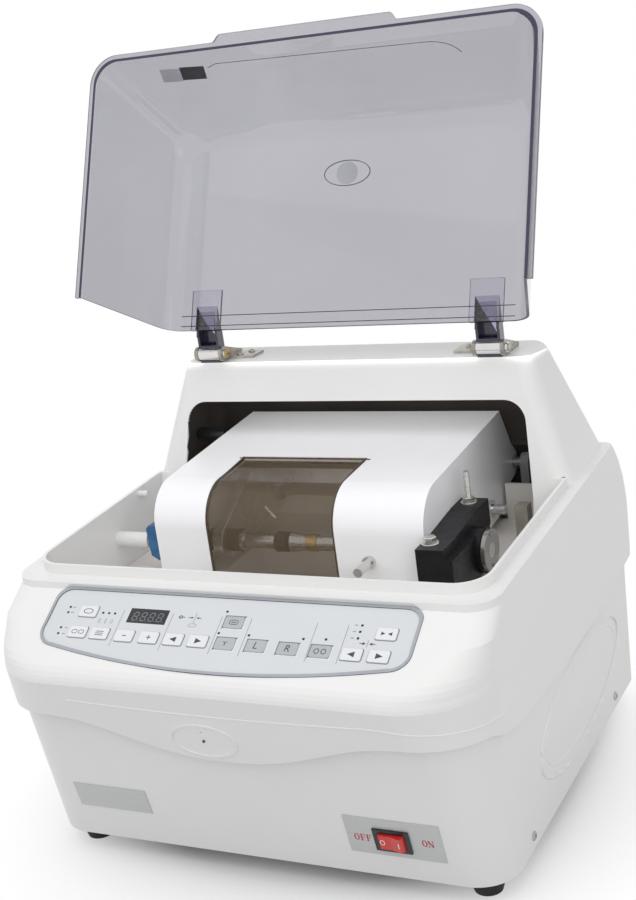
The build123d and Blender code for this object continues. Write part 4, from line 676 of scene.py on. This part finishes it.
# The size picture: a lens seen from its edge between two arrows
x, y = -26, -20
bar(bm, x - 6, y, x - 1.6, y, 0.5, *PRINT_AND_SHADE_LAYER)
bar(bm, x + 1.6, y, x + 6, y, 0.5, *PRINT_AND_SHADE_LAYER)
prism(bm, [(x - 3.4, y - 1), (x - 1.2, y), (x - 3.4, y + 1)], *PRINT_AND_SHADE_LAYER)
prism(bm, [(x + 3.4, y + 1), (x + 1.2, y), (x + 3.4, y - 1)], *PRINT_AND_SHADE_LAYER)
bar(bm, x, y + 5, x, y - 5, 0.5, *PRINT_AND_SHADE_LAYER, 1)
loop(bm, 4, 1.7, 0.5, 24, x, y - 7, *PRINT_AND_SHADE_LAYER, 1)
bar(bm, -41, -20, -35, -20, 0.6, *PRINT_AND_SHADE_LAYER)
loop(bm, 1.7, 1.7, 0.5, 20, -39, -20, *PRINT_AND_SHADE_LAYER)
# The chuck picture: two cups that close on a lens
x, y = 126, -32.5
for side in (-1, 1):
    cup = [(x + side * 1.2, y), (x + side * 4, y + 1.3), (x + side * 4, y - 1.3)]
    prism(bm, cup[::side], *PRINT_AND_SHADE_LAYER)
    bar(bm, x + side * 4, y, x + side * 6.5, y, 0.6, *PRINT_AND_SHADE_LAYER)
bar(bm, x, y + 3.2, x, y - 3.2, 0.5, *PRINT_AND_SHADE_LAYER, 1)
# Lens shapes under the three mode lamps
for x, shape in ((-112.2, (1.0, 2.2)), (-106.4, (0.9, 2.6)), (-100.7, (1.3, 2.0))):
    loop(bm, *shape, 0.4, 20, x, -28.6, *PRINT_AND_SHADE_LAYER, 1)
# Dashes beside the lamps
LAMP_DASHES = (
    (-141.5, -17.4), (-141.5, -22.7), (-140.5, -37.6), (-140.5, -43.4),
    (112.4, -16.7), (112.4, -22.4), (112.4, -28.3),
)
for x, y in LAMP_DASHES:
    bar(bm, x - 1.3, y, x + 1.3, y, 0.8, *PRINT_AND_SHADE_LAYER, 1)
place("panel_print_and_key_shade", bm, [INK_AND_RECESS_SHADE, GREY_INK_AND_GAP_SHADE, KEY_PAINTED_SHADE, KEY_PAINTED_HIGHLIGHT], "frame", "panel_frame", weighted=False)

# One mark on each key, which rides on the key's own body
KEY_TOP = 0.9
MARK = (PANEL_AT, KEY_TOP - 0.05, KEY_TOP + 0.06)
for name, (sx, sy) in KEYS.items():
    x, y = on_panel(sx, sy)
    bm = bmesh.new()
    if name == "key_minus":
        bar(bm, x - 1.9, y, x + 1.9, y, 0.7, *MARK)
    elif name == "key_plus":
        bar(bm, x - 2, y, x + 2, y, 0.7, *MARK)
        bar(bm, x, y - 2, x, y + 2, 0.7, *MARK)
    elif name in ("key_size_left", "key_chuck_left"):
        prism(bm, [(x - 3.4, y), (x + 2.4, y - 2.5), (x + 2.4, y + 2.5)], *MARK)
    elif name in ("key_size_right", "key_chuck_right"):
        prism(bm, [(x + 3.4, y), (x - 2.4, y + 2.5), (x - 2.4, y - 2.5)], *MARK)
    elif name in ("key_start_left", "key_start_right"):
        letters(bm, "L" if name == "key_start_left" else "R", 8.5, x, y, *MARK, slant=0.15)
    elif name == "key_view":
        bar(bm, x, y - 2, x, y, 0.6, *MARK)
        bar(bm, x, y, x - 1.5, y + 2, 0.6, *MARK)
        bar(bm, x, y, x + 1.5, y + 2, 0.6, *MARK)
    elif name == "key_stop":
        for side in (-1, 1):
            loop(bm, 2.2, 2.4, 0.6, 24, x + side * 2.9, y, *MARK)
    elif name == "key_lens":
        loop(bm, 4.6, 2.5, 0.6, 28, x, y, *MARK)
    elif name == "key_frame":
        for side in (-1, 1):
            frame_line(bm, 5.2, 3.8, 1.6, 0.5, 1.1, x + side * 3.2, y, *MARK)
    elif name == "key_mode":
        for k in (-1, 0, 1):
            bar(bm, x - 3.6, y + 1.7 * k, x + 3.6, y + 1.7 * k, 0.6, *MARK)
    elif name == "key_test":
        frame_line(bm, 8, 4.4, 2.1, 0.5, 1.6, x, y, *MARK)
        bar(bm, x - 2, y, x + 2, y, 0.7, *MARK)
    else:
        prism(bm, [(x - 4.4, y + 1.6), (x - 4.4, y - 1.6), (x - 1, y)], *MARK)
        prism(bm, [(x + 4.4, y - 1.6), (x + 4.4, y + 1.6), (x + 1, y)], *MARK)
    place(name + "_mark", bm, INK_AND_RECESS_SHADE, name + "_body", "panel_frame", weighted=False)

# Seven bars and a point for each of four digits on the dark display
SEVEN_BARS = (
    (-1.7, 3.8, 1.7, 3.8), (-1.7, 0, 1.7, 0), (-1.7, -3.8, 1.7, -3.8), (-2.1, 0.5, -2.1, 3.3),
    (2.1, 0.5, 2.1, 3.3), (-2.1, -3.3, -2.1, -0.5), (2.1, -3.3, 2.1, -0.5),
)
DIGIT_STEP, DIGIT_LEAN = 7.6, 0.12
bm = bmesh.new()
x0, y0 = on_panel(-0.429, 0.319)
lift = max((PANEL_AT.inverted() @ v.co).z for v in nodes["display"].data.vertices) / MM
low, high = lift - 0.05, lift + 0.04
for k in range(4):
    cx, cy = x0 + (k - 1.5) * DIGIT_STEP, y0 - 0.6
    for u0, v0, u1, v1 in SEVEN_BARS:
        start, end = (cx + u0 + DIGIT_LEAN * v0, cy + v0), (cx + u1 + DIGIT_LEAN * v1, cy + v1)
        bar(bm, *start, *end, 0.75, PANEL_AT, low, high)
    point_at = PANEL_AT @ Matrix.Translation(at(cx + 3.3, cy - 3.9, 0))
    lathe(bm, [(0, low), (0.45, low), (0.45, high), (0, high)], point_at, 12)
place("display_digits", bm, DIGIT, "frame", "display_dark", weighted=False)

# ---------------------------------------------------------------- switch marks and plate letters
# Frames on the lower housing's leaning front: one on its face, one in the middle of the switch
LEAN = math.radians(13.95)
FACE_OUT = (0, -math.cos(LEAN), -math.sin(LEAN))
FACE_AT = basis((0, -166.5, 18), FACE_OUT)
SWITCH_AT = basis((123.5, -176.31, 57.5), FACE_OUT)
ON_PLATE = (FACE_AT, 0.75, 0.88)
LETTER_STEP = 5.1
# Strokes of the two letters with straight lines: from, to and width
STROKES = {
    "F": (
        (-1.1, -3.4, -1.1, 3.4, 1.1), (-2.1, 3.2, 2.0, 3.2, 0.5), (-1.1, 0.2, 1.2, 0.2, 0.45),
        (-2.1, -3.2, 0.2, -3.2, 0.45), (1.8, 3.3, 1.8, 1.9, 0.45), (1.1, 1.0, 1.1, -0.6, 0.4),
    ),
    "N": (
        (-1.7, -3.4, -1.7, 3.3, 0.5), (1.7, -3.4, 1.7, 3.4, 0.5), (-1.9, 3.1, 1.8, -3.2, 1.1),
        (-2.5, -3.3, -0.9, -3.3, 0.4), (0.9, 3.3, 2.5, 3.3, 0.4),
    ),
}
bm = bmesh.new()
for x, y, word in ((98.4, 40.2, "OFF"), (153.0, 42.2, "ON")):
    for k, letter in enumerate(word):
        cx = x + (k - (len(word) - 1) / 2) * LETTER_STEP
        if letter == "O":
            band(bm, oval(2.2, 3.5, 28, cx, y), oval(1.1, 3.0, 28, cx, y), *ON_PLATE)
        for u0, v0, u1, v1, width in STROKES.get(letter, ()):
            bar(bm, cx + u0, y + v0, cx + u1, y + v1, width, *ON_PLATE)
place("switch_letters", bm, CRIMSON, "frame", "rocker_red", weighted=False)

# The rocker's two marks, the second on its tipped half
bm = bmesh.new()
loop(bm, 2.1, 2.7, 0.7, 28, -7.2, 0, SWITCH_AT, 4.1, 4.3)
tipped = SWITCH_AT @ Matrix.Translation(at(0, 0, 4.2)) @ Matrix.Rotation(math.radians(-14), 4, "Y")
bar(bm, 7.2, -2.6, 7.2, 2.6, 0.9, tipped, -0.1, 0.12)
place("rocker_marks", bm, WHITE_INK, "rocker", "white_plastic", weighted=False)

# ---------------------------------------------------------------- small fittings
def hex_outline(across, turn):
    """A hexagon of a given width across its flats, turned by an angle in degrees."""
    r = across / math.sqrt(3)
    angles = [math.radians(60 * k + turn) for k in range(6)]
    return [(r * math.cos(a), r * math.sin(a)) for a in angles]


def nut(bm, frame_at, across, low, high, mat=0, turn=0.0):
    """A hexagonal nut or bolt head with chamfered corners."""
    full, small = hex_outline(across, turn), hex_outline(across * 0.86, turn)
    cham = (high - low) * 0.14
    levels = ((small, low), (full, low + cham), (full, high - cham), (small, high))
    rows = [[bm.verts.new(frame_at @ at(u, v, h)) for u, v in line] for line, h in levels]
    bm.faces.new(rows[0][::-1]).material_index = mat
    bm.faces.new(rows[-1]).material_index = mat
    for a, b in zip(rows, rows[1:]):
        for k in range(6):
            j = (k + 1) % 6
            bm.faces.new((a[k], a[j], b[j], b[k])).material_index = mat


def threaded(bm, frame_at, radius, low, high, pitch):
    """A threaded rod: ridges one pitch apart, with a chamfered end."""
    profile = [(0, low), (radius, low)]
    h = low + pitch / 2
    while h < high - pitch:
        profile += [(radius, h), (radius * 0.82, h + pitch / 2)]
        h += pitch
    profile += [(radius * 0.8, high), (0, high)]
    lathe(bm, profile, frame_at, 18)


def dome_screw(bm, frame_at, radius, height):
    """A pan head whose crossed recess is drawn as dark bars of painted shade on its top."""
    shape = ((0, 0), (1, 0), (1, 0.35), (0.86, 0.75), (0.5, 0.97), (0, 1))
    lathe(bm, [(radius * r, height * h) for r, h in shape], frame_at, 28)
    for a in (45, 135):
        u, v = (radius * 0.5 * f(math.radians(a)) for f in (math.cos, math.sin))
        bar(bm, -u, -v, u, v, radius * 0.2, frame_at, height * 0.9, height * 1.03, 1)


# Bolt, washer, stud and nut on the black casting
bm = bmesh.new()
bolt_at = basis((127, -48, 251), (0, 0, 1))
lathe(bm, [(0, 0), (7.5, 0), (7.5, 1.0), (7.1, 1.4), (0, 1.4)], bolt_at, 40)
nut(bm, bolt_at, 9.6, 1.4, 6.6, turn=12)
lathe(bm, [(0, 6.5), (3.6, 6.5), (2.8, 6.9), (0, 6.9)], bolt_at, 24)
stud_at = basis((130, 36, 256), (0, 0, 1))
lathe(bm, [(0, 0), (7.2, 0), (7.2, 0.9), (6.9, 1.2), (0, 1.2)], stud_at, 40)
nut(bm, stud_at, 9.0, 1.2, 5.6, turn=20)
threaded(bm, stud_at, 2.6, 5.0, 28, pitch=1.1)
place("housing_bolts", bm, ZINC, "carriage", "zinc_steel", ("housing_fasteners",))

# Pattern disc, casting and carriage frame with rounded edges
softened("pattern_holder", DISC, 0.5, "chrome")
softened("pattern_housing", CASTING, 1.0, "black_casting")
softened("carriage_frame", ALLOY, 0.4, "alloy")

# Screws at the sides and on the feet of the hinge brackets
SIDE_HEAD, FOOT_HEAD = 1.9, 2.0
BARREL_HALF, EAR = 11, 3.3
FOOT_Y, FOOT_TOP, FOOT_WIDTH, FOOT_DEPTH = HINGE_Y + 11.1, 369.1, 24, 22
bm = bmesh.new()
box_low, box_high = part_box("pan_head_screws")
for y in (-102.5, 143.5):
    for sign in (-1, 1):
        x = box_high[0] / MM - SIDE_HEAD if sign > 0 else box_low[0] / MM + SIDE_HEAD
        dome_screw(bm, basis((x, y, 29), (sign, 0, 0), (0, 1, 0)), 4.0, SIDE_HEAD)
for sign in (-1, 1):
    for share, depth in ((0.45, 0.25), (0.75, 0.72)):
        x = sign * (HINGE_X - BARREL_HALF - FOOT_WIDTH * share)
        dome_screw(bm, basis((x, FOOT_Y + FOOT_DEPTH * depth, FOOT_TOP), (0, 0, 1)), 3.3, FOOT_HEAD)
place("dome_screws", bm, [NICKEL, INK_AND_RECESS_SHADE], "frame", "zinc_steel", ("pan_head_screws",))

# Hinge pin ends: a slotted brass nut at the left hinge, a domed pin at the right one
bm = bmesh.new()
left_at = basis((-HINGE_X + BARREL_HALF + EAR, HINGE_Y, HINGE_Z), (1, 0, 0), (0, 1, 0))
nut(bm, left_at, 7.4, 2.4, 4.0, 1, 15)
lathe(bm, [(0, 3.8), (2.6, 3.8), (2.3, 4.5), (0, 4.5)], left_at, 24, 1)
# The nut's slot is a dark bar of painted shade
bar(bm, -2.0, 0.6, 2.0, -0.6, 0.8, left_at, 4.4, 4.58, 2)
right_at = basis((HINGE_X + BARREL_HALF + EAR, HINGE_Y, HINGE_Z), (1, 0, 0), (0, 1, 0))
lathe(bm, [(0, 2.4), (3.4, 2.4), (3.4, 2.9), (2.9, 3.9), (1.7, 4.6), (0, 4.8)], right_at, 28, 0)
place("hinge_pin_ends", bm, [NICKEL, BRASS, INK_AND_RECESS_SHADE], "frame", "brass")
softened("hinge_brackets", NICKEL, 0.35, "chrome")

# Behind the window: the nozzle rod and its dark block
bm = bmesh.new()
block_at = basis((-34, 5.5, 273), (0, 0, 1))
prism(bm, rounded(8.5, 9, 2), block_at, -6.5, 6.5, 1)
wire(bm, [(-50, 5.5, 258.5), (-45.5, 5.5, 253), (-40.8, 5.5, 248.1)], 1.3, 10, 0)
place("nozzle_rod", bm, [STEEL, BLACK], "carriage", "ground_steel", bevel=0.3)

# Thick dark rims along the two side edges of the window: up its front, round its bend and back
BEND_Y, BEND_Z, BEND = -5, 253, 34.9
window_rise = math.tan(math.radians(5.5))
bm = bmesh.new()
for x in (-83.9, 36.9):
    rim = [(x, BEND_Y - BEND, z) for z in (207, 225, 240, BEND_Z)]
    for a in (15, 30, 45, 60, 75, 84.5):
        turned = math.radians(a)
        rim.append((x, BEND_Y - BEND * math.cos(turned), BEND_Z + BEND * math.sin(turned)))
    rim += [(x, y, 287.75 + (y + 8.3) * window_rise) for y in (5, 22, 38)]
    wire(bm, rim, 1.1, 8)
place("window_rims", bm, SMOKE_EDGE, "window", "dark_tint")

# Six-sided lever on the valve, pointed at its lower end
low, high = (Vector(v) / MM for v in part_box("valve_lever"))
lever = [
    (low.x, high.z - 5), (low.x + 3, high.z - 2), (high.x - 2.5, high.z), (high.x, high.z - 3),
    (high.x, low.z + 5), ((low.x + high.x) / 2 + 1, low.z), (low.x + 1.5, low.z + 5),
]
lever_at = basis((0, low.y, 0), (0, -1, 0))
bm = bmesh.new()
for f in prism(bm, lever, lever_at, low.y - high.y, 0):
    f.material_index = int(len(f.verts) == 4)
place("lever_look", bm, [BLUE, NAVY], "valve", "blue_plastic", ("valve_lever",), bevel=0.9)

# Raised outlines moulded into the shells: the oval on the right side and the crease round the front
BOX_HALF_X = 215.9
shells = []
for name in ("lower_housing", "upper_housing"):
    data = nodes[name].data
    faces = [p.vertices[:] for p in data.polygons]
    shells.append(BVHTree.FromPolygons([v.co for v in data.vertices], faces))


def on_shell(start, toward):
    """The first point of either shell on the way from one place toward another, in millimetres."""
    start, way = Vector(start) * MM, (Vector(toward) - Vector(start)).normalized()
    hits = [h for h in (tree.ray_cast(start, way) for tree in shells) if h[0]]
    nearest = min(hits, key=lambda h: h[3])
    return nearest[0] / MM, -way


def ridge(bm, rays, radius, sunk, closed=False):
    """A low rounded ridge along the places where the rays meet the shell, kept inside the part's box."""
    points = [p - out * sunk for p, out in (on_shell(*ray) for ray in rays)]
    for p in points:
        p.x = min(p.x, BOX_HALF_X - radius)
    if closed:
        points += points[:2]
    wire(bm, points, radius, 10)


CREST_Y, CREST_Z, CREST_TILT = 47.5, 81, math.radians(4)
BESIDE = 300
bm = bmesh.new()
for a, b, radius, sunk in ((119, 41.5, 1.6, 0.7), (104, 32.5, 1.2, 0.8)):
    outline = oval(a, b, 96, CREST_Y, CREST_Z, CREST_TILT)
    ridge(bm, [((BESIDE, y, z), (0, y, z)) for y, z in outline], radius, sunk, True)
place("crest_ridge", bm, WHITE, "frame", "white_shell", weighted=False)

# The crease runs along the front, turns the right corner in 17 steps and rises to the rear
AHEAD = -400
TURN_X, TURN_Y, TURN_STEPS = 140, -150, 17
bm = bmesh.new()
rays = []
for x in range(-130, 136, 10):
    z = 169.5 + 8 * (x / 206) ** 2
    rays.append(((x, AHEAD, z), (x, 0, z)))
for k in range(1, TURN_STEPS + 1):
    a, z = math.radians(-90 + 5 * k), 172.9 - 9.9 * k / TURN_STEPS
    rays.append(((TURN_X + 200 * math.cos(a), TURN_Y + 200 * math.sin(a), z), (TURN_X, TURN_Y, z)))
for y in range(-62, 90, 15):
    z = 163 + 11 * ((y + 62) / 147) ** 1.6
    rays.append(((BESIDE, y, z), (0, y, z)))
ridge(bm, rays, 1.0, 0.55)
place("crease_ridge", bm, WHITE, "frame", "white_shell", weighted=False)

# Hole in the badge at the front, where the housing leans in below its nose, drawn as a small black disc of
# painted shade
BADGE_X, BADGE_Z, BADGE_LEAN = -12, 144, 0.30
bm = bmesh.new()
y = -220 + BADGE_LEAN * (187.99 - BADGE_Z)
badge_at = basis((BADGE_X, y, BADGE_Z), (0, -1, -BADGE_LEAN))
lathe(bm, [(0, -0.5), (1.0, -0.5), (1.0, 1.25), (0, 1.3)], badge_at, 24)
place("badge_hole", bm, BLACK, "frame", "black_plastic")

# ---------------------------------------------------------------- camera, light, floor
cam_data = bpy.data.cameras.new("camera")
cam_data.sensor_width = 36
cam_data.lens = 60.616
camera = bpy.data.objects.new("camera", cam_data)
scene.collection.objects.link(camera)
right = Vector((0.8949, 0.4264, -0.1311))
up = Vector((-0.0085, 0.3100, 0.9507))
back = Vector((0.4461, -0.8497, 0.2810))
turn = Matrix((right, up, back)).transposed().to_4x4()
turn.translation = Vector((0.5877, -1.0951, 0.6756))
camera.matrix_world = turn
scene.camera = camera


def maths(tree, operation, first, second):
    """The result of an operation on two values."""
    node = tree.nodes.new("ShaderNodeMath")
    node.operation = operation
    tree.links.new(first, node.inputs[0])
    tree.links.new(second, node.inputs[1])
    return node.outputs[0]


def seen_rays(tree):
    """A light path node, and 1 for the rays that show the background: camera, transmission and glossy."""
    path = tree.nodes.new("ShaderNodeLightPath")
    direct = maths(tree, "MAXIMUM", path.outputs["Is Camera Ray"], path.outputs["Is Transmission Ray"])
    return path, maths(tree, "MAXIMUM", direct, path.outputs["Is Glossy Ray"])


def mixed(tree, share, first, second, out):
    """Mixes two shaders into the output node."""
    mix = tree.nodes.new("ShaderNodeMixShader")
    tree.links.new(share, mix.inputs[0])
    tree.links.new(first, mix.inputs[1])
    tree.links.new(second, mix.inputs[2])
    tree.links.new(mix.outputs[0], out.inputs[0])


# The world lights the object with a plain ambient and looks white behind it
world = bpy.data.worlds.new("studio")
scene.world = world
world.use_nodes = True
tree = world.node_tree
tree.nodes.clear()
out = tree.nodes.new("ShaderNodeOutputWorld")
ambient = tree.nodes.new("ShaderNodeBackground")
ambient.inputs["Color"].default_value = (0.99, 0.985, 1.0, 1)
ambient.inputs["Strength"].default_value = 0.74
white = tree.nodes.new("ShaderNodeBackground")
white.inputs["Color"].default_value = (1, 1, 1, 1)
white.inputs["Strength"].default_value = 1.0
mixed(tree, seen_rays(tree)[1], ambient.outputs[0], white.outputs[0], out)


def area(name, place, target, size, power):
    """A rectangular lamp that leaves no reflection of itself."""
    data = bpy.data.lights.new(name, "AREA")
    data.shape = "RECTANGLE"
    data.size, data.size_y = size
    data.energy = power
    light = bpy.data.objects.new(name, data)
    scene.collection.objects.link(light)
    light.location = place
    light.rotation_euler = (Vector(target) - Vector(place)).to_track_quat("-Z", "Y").to_euler()
    light.visible_glossy = False
    return light


area("top_soft", (-0.2, -0.8, 2.2), (0, 0, 0.3), (2.2, 1.8), 14)
area("front_left", (-1.6, -1.7, 1.3), (0, 0, 0.25), (1.4, 1.4), 3)
area("front_right", (1.45, -1.9, 1.25), (0, 0.1, 0.27), (1.4, 1.0), 11)
# A faint lamp inside the hood, which no camera ray or reflection shows
hood_fill = area("hood_fill", (0, 0.135, 0.362), (0, 0.12, 0.2), (0.35, 0.07), 0.075)
hood_fill.visible_camera = False

bpy.ops.mesh.primitive_circle_add(vertices=96, radius=9, fill_type="NGON", location=(0, 0, 0))
floor = bpy.context.object
floor.name = "studio_floor"
# The floor shows white away from the object and keeps the object's shadow near it. It throws back
# less light than it shows.
FADE_FROM, FADE_TO = 0.17, 0.32
floor_mat, tree, shader = new_material("floor")
out = [n for n in tree.nodes if n.type == "OUTPUT_MATERIAL"][0]
path, seen = seen_rays(tree)
tone = tree.nodes.new("ShaderNodeMix")
tone.data_type = "RGBA"
tone.inputs["A"].default_value = (0.88, 0.88, 0.88, 1)
tone.inputs["B"].default_value = (0.52, 0.52, 0.52, 1)
tree.links.new(path.outputs["Is Diffuse Ray"], tone.inputs["Factor"])
tree.links.new(tone.outputs["Result"], shader.inputs["Base Color"])
shader.inputs["Roughness"].default_value = 0.9
shader.inputs["Specular IOR Level"].default_value = 0.0
white = tree.nodes.new("ShaderNodeEmission")
white.inputs["Color"].default_value = (1, 1, 1, 1)
white.inputs["Strength"].default_value = 1.0
coords = tree.nodes.new("ShaderNodeTexCoord")
length = tree.nodes.new("ShaderNodeVectorMath")
length.operation = "LENGTH"
tree.links.new(coords.outputs["Object"], length.inputs[0])
far = spread(tree, length.outputs["Value"], 0, 1, FADE_FROM, FADE_TO)
mixed(tree, maths(tree, "MULTIPLY", far, seen), shader.outputs[0], white.outputs[0], out)
floor.data.materials.append(floor_mat)

scene.view_settings.view_transform = "Standard"

bpy.context.view_layer.update()
